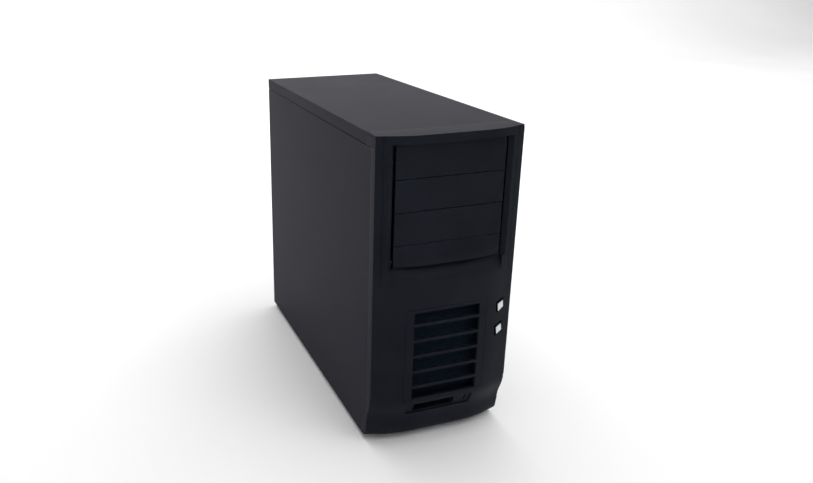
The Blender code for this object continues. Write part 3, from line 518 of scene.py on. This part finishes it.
def bezel_face(x, z):
    """The y of the bezel's front at x, z, with its scoop, recess sides, grooves and pocket."""
    y = -bulge(x) + setback(z)
    share = scooped(x, z)
    y = y * (1 - share) + SCOOP_END * share
    if in_recess_side(x, z):
        foot = (RECESS_HALF - abs(x)) / (RECESS_HALF - BAY_HALF)
        y = -bulge(RECESS_HALF) * (1 - foot) + RECESS_FOOT * foot
    if abs(abs(x) - SEAM_X) < STEP / 8 and z > SCOOP_LOW:
        y += SEAM_DEPTH
    inset = 0.9 * STEP
    if between(x, POCKET[0] + inset, POCKET[1] - inset) and between(z, POCKET[2] + inset, POCKET[3] - inset):
        y += POCKET_DEPTH
        if between(x, NICK[0], NICK[1]) and between(z, NICK[2], NICK[3]):
            y += NICK_DEPTH
    return y


def wall_end(z):
    """How deep the bezel's outer walls run at a height z."""
    if z > TOP_WALL_Z:
        return TOP_WALL
    return SIDE_WALL + FOOT_WALL_MORE * min(1.0, max(0.0, (FOOT_Z - z) / FOOT_RISE))


def bezel_sheet():
    """The sheet cut along every line that the front's features need."""
    both = [side * x for x in (BAY_HALF, BAY_HALF - STEP, RECESS_HALF, GRILLE_HALF, SEAM_X,
                               SEAM_X - SEAM_REACH, SEAM_X + SEAM_REACH, HALF) for side in (-1, 1)]
    pocket_x = [POCKET[0], POCKET[0] + STEP, POCKET[1] - STEP, POCKET[1], PULL_SLOT[0], PULL_SLOT[1]]
    arc = [side * x for x in spaced(FLAT_HALF + 3 * MM, 76 * MM, 2.5 * MM) for side in (-1, 1)]
    x_lines = merged(both, pocket_x + NICK_LINES_X, arc, spaced(-FLAT_HALF, FLAT_HALF, 9.5 * MM),
                     [-98 * MM, 98 * MM])
    z_lines = merged([0, BODY_TOP, BAY_LOW, BAY_LOW + STEP, BAY_HIGH, BAY_HIGH - STEP, SCOOP_LOW, GRILLE_LOW,
                      GRILLE_HIGH, 413 * MM, 413.3 * MM, POCKET[2], POCKET[2] + STEP, POCKET[3] - STEP,
                      POCKET[3], PULL_SLOT[2], PULL_SLOT[3]] + NICK_LINES_Z,
                     spaced(SCOOP_LOW, BAY_LOW, 2 * MM), [z * MM for z, _ in CHIN],
                     spaced(20 * MM, 64 * MM, 3.2 * MM), spaced(70 * MM, 228 * MM, 13 * MM),
                     spaced(265 * MM, 410 * MM, 18 * MM), [424 * MM])
    return lattice(x_lines, z_lines)


def cut_bezel_openings(shape):
    """Cut the bay, the grille, the pull slot and the wells; give each opening's rim, and the outer one."""
    windows = {"bay": (-BAY_HALF, BAY_HALF, BAY_LOW, BAY_HIGH),
               "grille": (-GRILLE_HALF, GRILLE_HALF, GRILLE_LOW, GRILLE_HIGH), "slot": PULL_SLOT}
    for window in windows.values():
        cut_window(shape, *window)
    for name, corners in WELLS.items():
        outline = outline_of(corners)
        cut_slanted(shape, outline)
        xs, zs = [p.x for p in outline], [p.z for p in outline]
        windows[name] = (min(xs), max(xs), min(zs), max(zs))
    rims = {name: rim(shape, *window) for name, window in windows.items()}
    inner = {e for edges in rims.values() for e in edges}
    rims["outer"] = [e for e in shape.edges if len(e.link_faces) == 1 and e not in inner]
    return rims


def on_brink(vert):
    return abs(abs(vert.co.x) - RECESS_HALF) < STEP / 8 and between(vert.co.z, BAY_LOW + STEP, BAY_HIGH - STEP)


def make_bezel():
    """The curved plastic front: one skin with its recess, grille opening, button wells and pull pocket.

    Its top and sides take the steel's paint as painted light: the plastic is the same all round, and the
    paint's lighter tone makes them read as lit as the steel they continue."""
    shape = bezel_sheet()
    rims = cut_bezel_openings(shape)
    for vert in shape.verts:
        vert.co.y = bezel_face(vert.co.x, vert.co.z)
    for name, edges in rims.items():
        wall_back(shape, edges, RIM_DEPTH[name])
    for name, (width, segments) in RIM_BEVEL.items():
        edges = rims.get(name) or [e for e in shape.edges if len(e.link_faces) == 2
                                   and all(on_brink(v) for v in e.verts)]
        bevel_edges(shape, edges, width, segments)
    face_forwards(shape)
    bezel = add_wall(case_mesh(shape, "moulded_bezel"), WALL)
    soften(bezel, 35)
    dress(bezel, "bezel_plastic", "case", "bezel_plastic", "front_bezel")
    # painted light: faces on the top and sides get the steel's lighter paint, though the plastic there is the
    # same as the front
    bezel.data.materials.append(FINISHES["panel_paint"])
    for face in bezel.data.polygons:
        sideways = abs(face.center.x) > HALF - PAINTED_LIGHT_BAND or face.center.z > bezel_high.z - PAINTED_LIGHT_BAND
        if sideways and face.normal.y > -0.45:
            face.material_index = 1


GRILLE_GAP, GRILLE_OPEN, GRILLE_DEPTH = 0.3 * MM, 47.7 * MM, 4.8 * MM
LOUVRE_ENDS, LOUVRE_HALF = (66.5 * MM, 194 * MM), 2.1 * MM
LOUVRES = [z * MM for z in (84.5, 107.4, 130.3, 153.2, 176.1)]
FILTER_HALF, FILTER_LOW, FILTER_HIGH, FILTER_FACE = 61 * MM, 57 * MM, 205 * MM, 3.5 * MM
COVER_HALF, COVER_FACE, COVER_BACK = 76.2 * MM, -3 * MM, -0.1 * MM
COVER_SEAMS = [z * MM for z in (416.5, 372.6, 329.8, 286.2, 258.0)]
COVERS = ("drive_bay_cover_upper", "drive_bay_cover_middle", "drive_bay_cover_lower")
COVER_GAP, LIP_GAP, LIP_SWELL, LIP_FOOT = 0.5 * MM, 0.3 * MM, 7 * MM, 0.86
BUTTON_PROUD, CAP_DEPTH, CAP_EDGE, PLUNGER_LOW, PLUNGER_END = 0.6 * MM, 1.3 * MM, 0.3 * MM, 0.6 * MM, 3 * MM


def make_grille():
    """The air intake: a curved insert with five rounded louvres."""
    edges = [LOUVRE_ENDS[0]] + [z + side * LOUVRE_HALF for z in LOUVRES for side in (-1, 1)] + [LOUVRE_ENDS[1]]
    x_lines = merged([-GRILLE_HALF + GRILLE_GAP, GRILLE_HALF - GRILLE_GAP, -GRILLE_OPEN, GRILLE_OPEN],
                     spaced(-56 * MM, 56 * MM, 3.2 * MM))
    shape = lattice(x_lines, merged([GRILLE_LOW + GRILLE_GAP, GRILLE_HIGH - GRILLE_GAP], edges))
    for low, high in zip(edges[::2], edges[1::2]):
        cut_window(shape, -GRILLE_OPEN, GRILLE_OPEN, low, high)
    rims = [e for e in shape.edges if len(e.link_faces) == 1]
    for vert in shape.verts:
        vert.co.y = -bulge(vert.co.x)
    wall_back(shape, rims, lambda corner: corner.y + GRILLE_DEPTH)
    bevel_edges(shape, rims, 0.9 * MM, 3)
    face_forwards(shape)
    grille = add_wall(case_mesh(shape, "louvred_grille"), 0.9 * MM)
    soften(grille, 40)
    dress(grille, "bezel_plastic", "case", "bezel_plastic", "front_grille")


def make_dust_filter():
    """A dark filter behind the louvres, slightly wavy, so that they read as dark openings."""
    shape = lattice(spaced(-FILTER_HALF, FILTER_HALF, 5.5 * MM), spaced(FILTER_LOW, FILTER_HIGH, 6 * MM))
    for vert in shape.verts:
        wave = math.sin(vert.co.x / MM * 0.4) * math.sin(vert.co.z / MM * 0.3)
        vert.co.y = FILTER_FACE + 0.35 * MM * wave
    face_forwards(shape)
    filter_pad = add_wall(case_mesh(shape, "dust_filter"), 1.5 * MM)
    soften(filter_pad)
    dress(filter_pad, "filter_foam", "case", "bezel_plastic")


def finish_cover(shape, name, edge, thickness, node):
    """Fold a cover's rim back, round it, and give it its wall."""
    rims = [e for e in shape.edges if len(e.link_faces) == 1]
    wall_back(shape, rims, COVER_BACK)
    bevel_edges(shape, rims, edge, 3)
    face_forwards(shape)
    cover = add_wall(case_mesh(shape, name), thickness)
    soften(cover, 40)
    dress(cover, "bezel_plastic", "case", "bezel_plastic", node)


def make_bay_cover(name, top, bottom):
    """A flat blanking cover with rounded edges."""
    shape = lattice([-COVER_HALF, -COVER_HALF + 2 * MM, COVER_HALF - 2 * MM, COVER_HALF],
                    merged([bottom + COVER_GAP, top - COVER_GAP],
                           [(top + bottom) / 2 + d * MM for d in (-7, -4, 4, 7)]))
    for vert in shape.verts:
        vert.co.y = COVER_FACE
    finish_cover(shape, name + "_moulded", 0.75 * MM, 1.6 * MM, name)


def make_floppy_cover():
    """The narrow lowest cover, which swells forwards into a finger lip along its foot."""
    top, bottom = COVER_SEAMS[3] - LIP_GAP, COVER_SEAMS[4] + LIP_GAP
    shape = lattice(spaced(-COVER_HALF, COVER_HALF, 4 * MM), merged([bottom, top], spaced(bottom, top, 2 * MM)))
    for vert in shape.verts:
        drop = (top - vert.co.z) / (top - bottom)
        share = min(1.0, drop / LIP_FOOT)
        share = share * share * (3 - 2 * share) if drop > 0 else 0.0
        vert.co.y = COVER_FACE - LIP_SWELL * share * (1 - abs(vert.co.x / COVER_HALF) ** 3)
    finish_cover(shape, "floppy_cover_moulded", 0.7 * MM, 1.4 * MM, "floppy_bay_cover")


def make_button(name, corners):
    """A silver cap with crisp corners and a rolled face edge, leaning with the wing, on a black plunger."""
    shape = bmesh.new()
    cap = shape.faces.new([shape.verts.new(p) for p in outline_of(corners, -0.1 * MM)])
    for vert in shape.verts:
        vert.co.y = -bulge(vert.co.x) - BUTTON_PROUD
    cap.normal_update()
    if cap.normal.y > 0:
        cap.normal_flip()
    wall_back(shape, list(cap.edges), lambda corner: corner.y + CAP_DEPTH)
    shape.faces.new([v for v in shape.verts if v.co.y > -bulge(v.co.x)])
    face_forwards(shape)
    bevel_edges(shape, sharp_edges(shape), CAP_EDGE, 3)
    button = case_mesh(shape, name + "_cap")
    soften(button, 50)
    dress(button, "button_plastic", name, "button_plastic", name)

    plunger = bmesh.new()
    front = plunger.faces.new([plunger.verts.new(p) for p in outline_of(corners, -0.7 * MM)])
    for vert in plunger.verts:
        vert.co.y = -bulge(vert.co.x) + PLUNGER_LOW
    wall_back(plunger, list(front.edges), PLUNGER_END)
    face_forwards(plunger)
    stem = case_mesh(plunger, name + "_plunger")
    soften(stem, 30)
    dress(stem, "bezel_plastic", name, "button_plastic")


make_bezel()
make_grille()
make_dust_filter()
for cover_name, cover_top, cover_bottom in zip(COVERS, COVER_SEAMS, COVER_SEAMS[1:]):
    make_bay_cover(cover_name, cover_top, cover_bottom)
make_floppy_cover()
make_button("power_button", POWER)
make_button("reset_button", RESET)


# ---------------------------------------------------------------- small parts at the back and inside
# millimetres in the case frame: the rear panel's face, the rear fan, the card slots, the board, the ports
REAR = 478.8
FAN_X, FAN_Z, FAN_SCREW = -32, 231, 52.5
SLOT_TOP, SLOT_PITCH, SLOT_COUNT, SLOT_SCREW_X = 136.0, 20.32, 7, -41.5
SUPPLY_SCREWS = ((-77.5, 326.0), (-77.5, 409.5), (67.8, 326.0), (67.8, 409.5))
BOARD = 77.0
PORT_X, SERIAL_PORTS, TONGUES, PIN_RING, PIN_HALF = 65, (166.0, 186.0), (0.8, 6.4), 2.6, 0.35
BLADES = ((25.0, 346.75), (32.0, 350.75), (39.0, 346.75))
CARD_OUTLINE = ((-30, 300), (71, 300), (71, 336), (76.4, 336), (76.4, 347), (73.2, 347), (73.2, 349),
                (76.4, 349), (76.4, 418), (71, 418), (71, 473.6), (-30, 473.6))
CAPACITORS = ((318, 286), (318, 276), (318, 266), (318, 256), (318, 246), (318, 236), (340, 298), (350, 298),
              (360, 298), (316, 160), (316, 150), (254, 148), (300, 190))
# turned profiles: radius and height
PAN_HEAD = ((0, 0.9), (0.7, 0.9), (0.8, 1.5), (2.0, 1.5), (2.7, 1.1), (3.0, 0.5), (3.0, 0.0), (0, 0))
JACK = ((1.9, -5.0), (1.9, 0.4), (2.4, 0.8), (3.0, 0.8), (3.3, 0.4), (3.3, -5.0), (1.9, -5.0))
ROUND_SOCKET = ((0, -6), (0, 0.0), (4.6, 0.0), (5.0, 0.5), (5.8, 0.5), (6.1, 0.0), (6.1, -6), (0, -6))
CAN = ((0, 0), (3.4, 0), (3.6, 0.3), (3.6, 7.6), (3.3, 8.0), (2.6, 8.0), (2.5, 7.8), (0, 7.8))
CELL = ((0, 0), (9.6, 0), (10, 0.4), (10, 2.8), (9.7, 3.2), (0, 3.2))
BLOWER_HUB = ((0, 0), (10, 0), (11, -0.8), (11, -3), (0, -3))
FOOT_RIM = ((0, 1.4), (0.42, 1.4), (0.48, 0.0), (0.80, 0.0), (0.88, 0.4), (0.93, 1.3))
# fan rotors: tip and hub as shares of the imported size, the blade's root, half width, narrowing and sweep in
# radians, its rise and camber as shares of the depth, and its thickness
ROTORS = {"front_fan_rotor": ("y", 7), "rear_fan_rotor": ("y", 7), "psu_fan_rotor": ("y", 7),
          "cpu_fan_rotor": ("x", 9)}
TIP, HUB, ROOT = 0.985, 0.385, 0.96
BLADE_HALF, BLADE_NARROWING, BLADE_SWEEP = 0.40, 0.06, 0.35
BLADE_RISE, BLADE_FLATTENING, BLADE_CAMBER, BLADE_THICK = 0.43, 0.12, 0.10, 1.1 * MM
AXIS_TURN = {"x": Matrix.Rotation(math.pi / 2, 4, "Y"), "y": Matrix.Rotation(-math.pi / 2, 4, "X")}


def boxes(name, finish, slot, rows, edge=0.25):
    """Several small boxes with broken edges as one piece; a row holds two corners in millimetres."""
    shape = bmesh.new()
    for low, high in rows:
        size = [(b - a) * MM for a, b in zip(low, high)]
        middle = [(a + b) / 2 * MM for a, b in zip(low, high)]
        place = Matrix.Translation(middle) @ Matrix.Diagonal((*size, 1))
        bmesh.ops.create_cube(shape, size=1.0, matrix=place)
    bevel_edges(shape, sharp_edges(shape), edge * MM)
    item = case_mesh(shape, name)
    soften(item)
    dress(item, finish, "case", slot)


def turned(shape, profile, place, segments):
    """Spin a profile of (radius, height) in millimetres about z, close it and put it in place."""
    older = set(shape.verts)
    line = [shape.verts.new((r * MM, 0, h * MM)) for r, h in profile]
    edges = [shape.edges.new(pair) for pair in zip(line, line[1:])]
    bmesh.ops.spin(shape, geom=line + edges, cent=(0, 0, 0), axis=(0, 0, 1), dvec=(0, 0, 0),
                   angle=2 * math.pi, steps=segments, use_merge=True, use_duplicate=False)
    bmesh.ops.remove_doubles(shape, verts=[v for v in shape.verts if v not in older], dist=WELD / 10)
    bmesh.ops.transform(shape, matrix=place, verts=[v for v in shape.verts if v not in older])


def turnings(name, finish, slot, profile, places, segments):
    """The same turned part in several places as one piece."""
    shape = bmesh.new()
    for place in places:
        turned(shape, profile, place, segments)
    bmesh.ops.recalc_face_normals(shape, faces=shape.faces)
    item = case_mesh(shape, name)
    soften(item, 35)
    dress(item, finish, "case", slot)


def backwards(*places):
    """Places, in millimetres, for turned parts that point out of the back."""
    return [Matrix.Translation([c * MM for c in place]) @ AXIS_TURN["y"] for place in places]


def off_board(*places):
    """Places in y and z, in millimetres, for turned parts that stand on the main board."""
    lying = Matrix.Rotation(math.pi, 4, "Z") @ AXIS_TURN["x"]
    return [Matrix.Translation((BOARD * MM, y * MM, z * MM)) @ lying for y, z in places]


def make_screws():
    """Pan-head screws of the rear fan, the power supply and the card slots."""
    sides = (-FAN_SCREW, FAN_SCREW)
    turnings("rear_fan_screws", "screw_steel", "screw_steel", PAN_HEAD,
             backwards(*[(FAN_X + dx, REAR, FAN_Z + dz) for dx in sides for dz in sides]), 20)
    turnings("supply_screws", "screw_steel", "screw_steel", PAN_HEAD,
             backwards(*[(x, REAR, z) for x, z in SUPPLY_SCREWS]), 20)
    turnings("slot_screws", "screw_steel", "screw_steel", PAN_HEAD,
             backwards(*[(SLOT_SCREW_X, REAR, SLOT_TOP - SLOT_PITCH * i) for i in range(SLOT_COUNT)]), 20)


def make_ports():
    """What is inside the ports: serial and network sockets, a display socket, jacks, a round socket."""
    boxes("serial_tongues", "white_nylon", "inlet_plastic",
          [((59.5, 461, z + d), (70.5, 472.5, z + d + 1.9)) for z in SERIAL_PORTS for d in TONGUES])
    boxes("serial_contacts", "contacts", "port_metal",
          [((60.6 + 2.4 * i, 462, z + d - 0.15), (61.9 + 2.4 * i, 471.5, z + d + 0.05))
           for z in SERIAL_PORTS for d in TONGUES for i in range(4)], 0.05)
    boxes("network_contacts", "contacts", "port_metal",
          [((60.2 + 1.25 * i, 461, 213.4), (60.8 + 1.25 * i, 471, 214.4)) for i in range(8)], 0.05)
    boxes("network_latch_guide", "black_nylon", "inlet_plastic",
          [((58.2, 461, 205.8), (62.0, 473.5, 207.6)), ((68.0, 461, 205.8), (71.8, 473.5, 207.6))])
    boxes("display_insert", "blue_nylon", "inlet_plastic", [((60.4, 461, 230.0), (69.6, 473.4, 252.0))], 1.2)
    boxes("display_pins", "contacts", "port_metal",
          [((61.8 + 2.4 * c, 473, 232.4 + 3.9 * r), (62.6 + 2.4 * c, 474.0, 233.2 + 3.9 * r))
           for c in range(3) for r in range(5)], 0.1)
    turnings("jack_out", "blue_nylon", "inlet_plastic", JACK, backwards((PORT_X, 473.6, 267.0)), 28)
    turnings("jack_in", "white_nylon", "inlet_plastic", JACK, backwards((PORT_X, 473.6, 275.0)), 28)
    turnings("round_socket", "black_nylon", "inlet_plastic", ROUND_SOCKET, backwards((PORT_X, 473.4, 292)), 32)
    ring = [(PORT_X + PIN_RING * math.cos(a), 292 + PIN_RING * math.sin(a))
            for a in (math.pi / 3 * i for i in range(6))]
    boxes("round_socket_pins", "contacts", "port_metal",
          [((x - PIN_HALF, 473, z - PIN_HALF), (x + PIN_HALF, 474.2, z + PIN_HALF)) for x, z in ring], 0.1)
    boxes("inlet_blades", "screw_steel", "inlet_plastic",
          [((x - 1.15, 461.4, z - 2.15), (x + 1.15, 475.9, z + 2.15)) for x, z in BLADES], 0.3)


def make_card_board():
    """The graphics card's board, with its edge connector and the key cut into it."""
    shape = bmesh.new()
    low_z = (SLOT_TOP - 0.8) * MM
    lower = shape.faces.new([shape.verts.new((x * MM, y * MM, low_z)) for x, y in CARD_OUTLINE])
    upper = bmesh.ops.extrude_face_region(shape, geom=[lower])["geom"]
    raised = [v for v in upper if isinstance(v, bmesh.types.BMVert)]
    bmesh.ops.translate(shape, vec=(0, 0, 1.6 * MM), verts=raised)
    bmesh.ops.recalc_face_normals(shape, faces=shape.faces)
    bevel_edges(shape, sharp_edges(shape), 0.2 * MM)
    board = case_mesh(shape, "graphics_board")
    soften(board)
    dress(board, "board_green", "case", "board_green", "graphics_card")


def make_card_parts():
    """The card's contacts, bracket and sockets, and a black shroud over a finned block with a blower."""
    z = SLOT_TOP
    boxes("graphics_contacts", "contacts", "board_green",
          [((71.8, 350.2 + 2 * i, z - 0.86), (76.0, 351.4 + 2 * i, z + 0.86)) for i in range(33)], 0.03)
    boxes("graphics_bracket", "screw_steel", "board_green",
          [((-34, 474.0, z - 9.2), (74.5, 475.0, z + 9.2))], 0.3)
    boxes("graphics_sockets", "white_nylon", "board_green",
          [((-20, 466, z - 4.6), (14, 477.4, z + 4.6))], 0.9)
    boxes("graphics_socket_shells", "screw_steel", "board_green",
          [((24, 466, z - 3.4), (40, 477.6, z + 3.4)), ((48, 466, z - 4.4), (68, 477.2, z + 4.4))], 0.8)
    boxes("graphics_socket_mouths", "black_nylon", "board_green",
          [((25.2, 476, z - 2.3), (38.8, 477.9, z + 2.3)), ((49.4, 476, z - 3.2), (66.6, 477.5, z + 3.2))], 0.3)
    boxes("graphics_socket_holes", "black_nylon", "board_green",
          [((-17.6 + 3.6 * c, 476.5, z - 3.1 + 2.5 * r), (-16.4 + 3.6 * c, 477.6, z - 1.9 + 2.5 * r))
           for c in range(8) for r in range(3)], 0.1)
    boxes("graphics_fins", "fin_aluminium", "board_green",
          [((-20 + 4.1 * i, 314, z - 17.0), (-18.9 + 4.1 * i, 448, z - 1.2)) for i in range(20)], 0.15)
    boxes("graphics_shroud", "fan_plastic", "board_green",
          [((-22, 312, z - 18.0), (62, 352, z - 15.0)), ((-22, 410, z - 18.0), (62, 450, z - 15.0)),
           ((-22, 352, z - 18.0), (-10, 410, z - 15.0)), ((50, 352, z - 18.0), (62, 410, z - 15.0)),
           ((-22, 312, z - 16.0), (-20.8, 450, z - 6.0)), ((60.8, 312, z - 16.0), (62, 450, z - 6.0))], 0.5)
    hub_place = Matrix.Translation((20 * MM, 381 * MM, (z - 14.6) * MM))
    turnings("graphics_blower_hub", "fan_plastic", "board_green", BLOWER_HUB, [hub_place], 32)


def make_board_parts():
    """What stands on the main board: capacitors, chokes, chips, a cooler on the bridge chip, headers."""
    turnings("capacitors", "drive_metal", "board_green", CAN, off_board(*CAPACITORS), 20)
    boxes("chokes", "black_nylon", "board_green",
          [((BOARD - 6.5, 326, z), (BOARD, 332, z + 7)) for z in (282, 270, 258)]
          + [((BOARD - 6.5, y, 290), (BOARD, y + 7, 297)) for y in (372, 384, 396)], 0.8)
    boxes("chips", "black_nylon", "board_green",
          [((BOARD - 1.4, 440, 60), (BOARD, 447, 67)), ((BOARD - 1.4, 436, 100), (BOARD, 448, 112)),
           ((BOARD - 1.4, 250, 30), (BOARD, 262, 42)), ((BOARD - 1.2, 270, 110), (BOARD, 290, 130)),
           ((BOARD - 1.2, 440, 30), (BOARD, 452, 36)), ((BOARD - 1.2, 340, 20), (BOARD, 352, 26))], 0.3)
    boxes("bridge_cooler", "fin_aluminium", "board_green",
          [((BOARD - 3, 298, 92), (BOARD, 328, 122))]
          + [((BOARD - 11, 298 + 3.05 * i, 92), (BOARD - 2.5, 299.3 + 3.05 * i, 122)) for i in range(10)], 0.2)
    mouths = [SLOT_TOP - SLOT_PITCH * i for i in range(1, SLOT_COUNT)]
    boxes("card_slot_mouths", "black_nylon", "board_green",
          [((BOARD - 11.2, 336.5, z - 1.0), (BOARD - 9.8, 418.5, z + 1.0)) for z in mouths], 0.15)
    boxes("disk_headers", "blue_nylon", "board_green",
          [((BOARD - 7, 229, z), (BOARD, 236, z + 14)) for z in (70, 88, 106)], 0.5)
    turnings("clock_cell", "screw_steel", "board_green", CELL, off_board((300, 35)), 36)


def blade_point(flat, tip, depth, turn):
    """Bend a point of a flat grid, from -1 to 1 each way, into a swept and cambered blade."""
    out, along = (flat.x + 1) / 2, flat.y
    root = tip * HUB * ROOT
    radius = root + (tip - root) * out
    angle = along * (BLADE_HALF - BLADE_NARROWING * out) + BLADE_SWEEP * out * out + turn
    rise = along * (BLADE_RISE - BLADE_FLATTENING * out) - BLADE_CAMBER * (1 - along * along)
    return radius * math.cos(angle), radius * math.sin(angle), rise * depth


def make_rotor(node, axis, blades):
    """A hub with a rolled rim and pitched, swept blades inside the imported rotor's own space."""
    low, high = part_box(node)
    size = high - low
    depth = size["xyz".index(axis)]
    tip = max(size[i] for i in range(3) if i != "xyz".index(axis)) / 2 * TIP
    hub, half = tip * HUB / MM, depth / 2 / MM
    shape = bmesh.new()
    turned(shape, ((0, half), (hub * 0.86, half), (hub * 0.96, half * 0.93), (hub, half * 0.8), (hub, -half),
                   (0, -half)), Matrix.Identity(4), 40)
    bmesh.ops.recalc_face_normals(shape, faces=shape.faces)
    for i in range(blades):
        sheet = bmesh.ops.create_grid(shape, x_segments=7, y_segments=5, size=1.0)["verts"]
        for vert in sheet:
            vert.co = blade_point(vert.co, tip, depth, 2 * math.pi * i / blades)
        skin = list({f for v in sheet for f in v.link_faces})
        bmesh.ops.solidify(shape, geom=skin, thickness=BLADE_THICK)
    place = Matrix.Translation((low + high) / 2) @ AXIS_TURN[axis]
    bmesh.ops.transform(shape, matrix=place, verts=shape.verts)
    bmesh.ops.recalc_face_normals(shape, faces=shape.faces)
    item = new_piece(shape, node + "_moulded")
    soften(item, 40)
    dress(item, "fan_plastic", node, SLOT_OF[node], node)


def make_foot(node):
    """A turned rubber foot with a rolled rim and a sunk middle."""
    low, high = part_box(node)
    reach, tall = (high.x - low.x) / 2 / MM, (high.z - low.z) / MM
    profile = [(reach * share, height) for share, height in FOOT_RIM]
    profile += [(reach, tall * 0.8), (reach * 0.98, tall), (0, tall)]
    shape = bmesh.new()
    turned(shape, profile, Matrix.Translation(((low.x + high.x) / 2, (low.y + high.y) / 2, low.z)), 48)
    bmesh.ops.recalc_face_normals(shape, faces=shape.faces)
    item = new_piece(shape, node + "_moulded")
    soften(item, 40)
    dress(item, "foot_rubber", "case", "foot_rubber", node)


make_screws()
make_ports()
# the folded return inside the top cover, which closes the seam over each side panel
boxes("top_cover_returns", "panel_paint", "panel_paint",
      [((-101.5, 36, 404), (-100.7, 474, 424)), ((100.7, 36, 404), (101.5, 474, 424))])
make_card_board()
make_card_parts()
make_board_parts()
for rotor, (rotor_axis, blade_count) in ROTORS.items():
    make_rotor(rotor, rotor_axis, blade_count)
FEET = [node for node in SLOT_OF if SLOT_OF[node] == "foot_rubber"]
for foot in FEET:
    make_foot(foot)

REMADE = {"front_bezel", "front_grille", "floppy_bay_cover", "power_button", "reset_button", "graphics_card",
          *COVERS, *ROTORS, *FEET}
CABLES = ("main_power_cable", "drive_power_cable", "data_cable", "switch_leads")
for node in SLOT_OF:
    if node in REMADE:
        continue
    if node not in CABLES:
        finished_copy(node, EDGE_BREAK)
    else:
        frame["nodes"][node].data.materials.clear()
        frame["nodes"][node].data.materials.append(FINISHES[SLOT_OF[node]])


# ---------------------------------------------------------------- room, lights and camera
ROOM_FAR, ROOM_TURN, ROOM_STEPS, ROOM_HEIGHT, ROOM_HALF = 4.0, 1.2, 12, 4.5, 12.0
CAMERA_PLACE, CAMERA_PAN, CAMERA_TILT, CAMERA_ROLL = (-0.4471, -1.0388, 0.6343), -19.07, 90 - 19.09, -0.196


def make_room():
    """A pale floor that sweeps up into a backdrop before and behind."""
    back = [(ROOM_FAR - ROOM_TURN, 0.0)]
    for i in range(1, ROOM_STEPS + 1):
        angle = math.pi / 2 * i / ROOM_STEPS
        back.append((ROOM_FAR - ROOM_TURN + ROOM_TURN * math.sin(angle), ROOM_TURN * (1 - math.cos(angle))))
    back.append((ROOM_FAR, ROOM_HEIGHT))
    path = [(-y, z) for y, z in reversed(back)] + back
    shape = bmesh.new()
    line = [shape.verts.new((-ROOM_HALF, y, z)) for y, z in path]
    edges = [shape.edges.new(pair) for pair in zip(line, line[1:])]
    swept = bmesh.ops.extrude_edge_only(shape, edges=edges)["geom"]
    moved = [v for v in swept if isinstance(v, bmesh.types.BMVert)]
    bmesh.ops.translate(shape, verts=moved, vec=(2 * ROOM_HALF, 0, 0))
    bmesh.ops.recalc_face_normals(shape, faces=shape.faces)
    room = new_piece(shape, "sweep")
    room.data.shade_smooth()
    made, tree, shader, place = surface("pale_paper", Roughness=0.9)
    tone = add(tree, "TexNoise", Vector=place, Scale=2.0)
    blend_colours(tree, shader, tone.outputs["Fac"], "#f4f4f4", "#f7f7f7")
    room.data.materials.append(made)


def soft_light(name, place, aim, width, height, watts):
    """A large white area light, turned towards a point."""
    data = bpy.data.lights.new(name, "AREA")
    data.shape, data.size, data.size_y, data.energy = "RECTANGLE", width, height, watts
    lamp = bpy.data.objects.new(name, data)
    lamp.location = place
    lamp.rotation_euler = (Vector(aim) - Vector(place)).to_track_quat("-Z", "Y").to_euler()
    bpy.context.scene.collection.objects.link(lamp)


def make_camera():
    data = bpy.data.cameras.new("camera")
    data.lens, data.sensor_width = 33.26, 36.0
    data.shift_x, data.shift_y = 0.1038, -0.0276
    data.clip_start, data.clip_end = 0.05, 20.0
    camera = bpy.data.objects.new("camera", data)
    pan, tilt, roll = (Matrix.Rotation(math.radians(angle), 4, axis) for angle, axis in (
        (CAMERA_PAN, "Z"), (CAMERA_TILT, "X"), (CAMERA_ROLL, "Z")))
    camera.matrix_world = Matrix.Translation(CAMERA_PLACE) @ pan @ tilt @ roll
    bpy.context.scene.collection.objects.link(camera)
    bpy.context.scene.camera = camera


make_room()
soft_light("overhead", (0.3, 0.3, 2.5), (0, 0, 0.2), 3.6, 3.0, 56)
soft_light("backdrop_wash", (0.9, 1.6, 3.0), (1.1, 4.0, 1.1), 8.0, 1.4, 135)
soft_light("front_wash", (0.7, -1.7, 2.0), (0.1, -0.7, 0.0), 1.8, 1.2, 14)
soft_light("low_left", (-2.4, -0.2, 0.35), (-0.1, 0.1, 0.05), 2.4, 0.5, 5)
world = bpy.data.worlds.new("studio")
world.use_nodes = True
world.node_tree.nodes["Background"].inputs["Color"].default_value = (1.0, 1.0, 1.0, 1.0)
world.node_tree.nodes["Background"].inputs["Strength"].default_value = 0.30
bpy.context.scene.world = world
bpy.context.scene.view_settings.view_transform = "Standard"
make_camera()
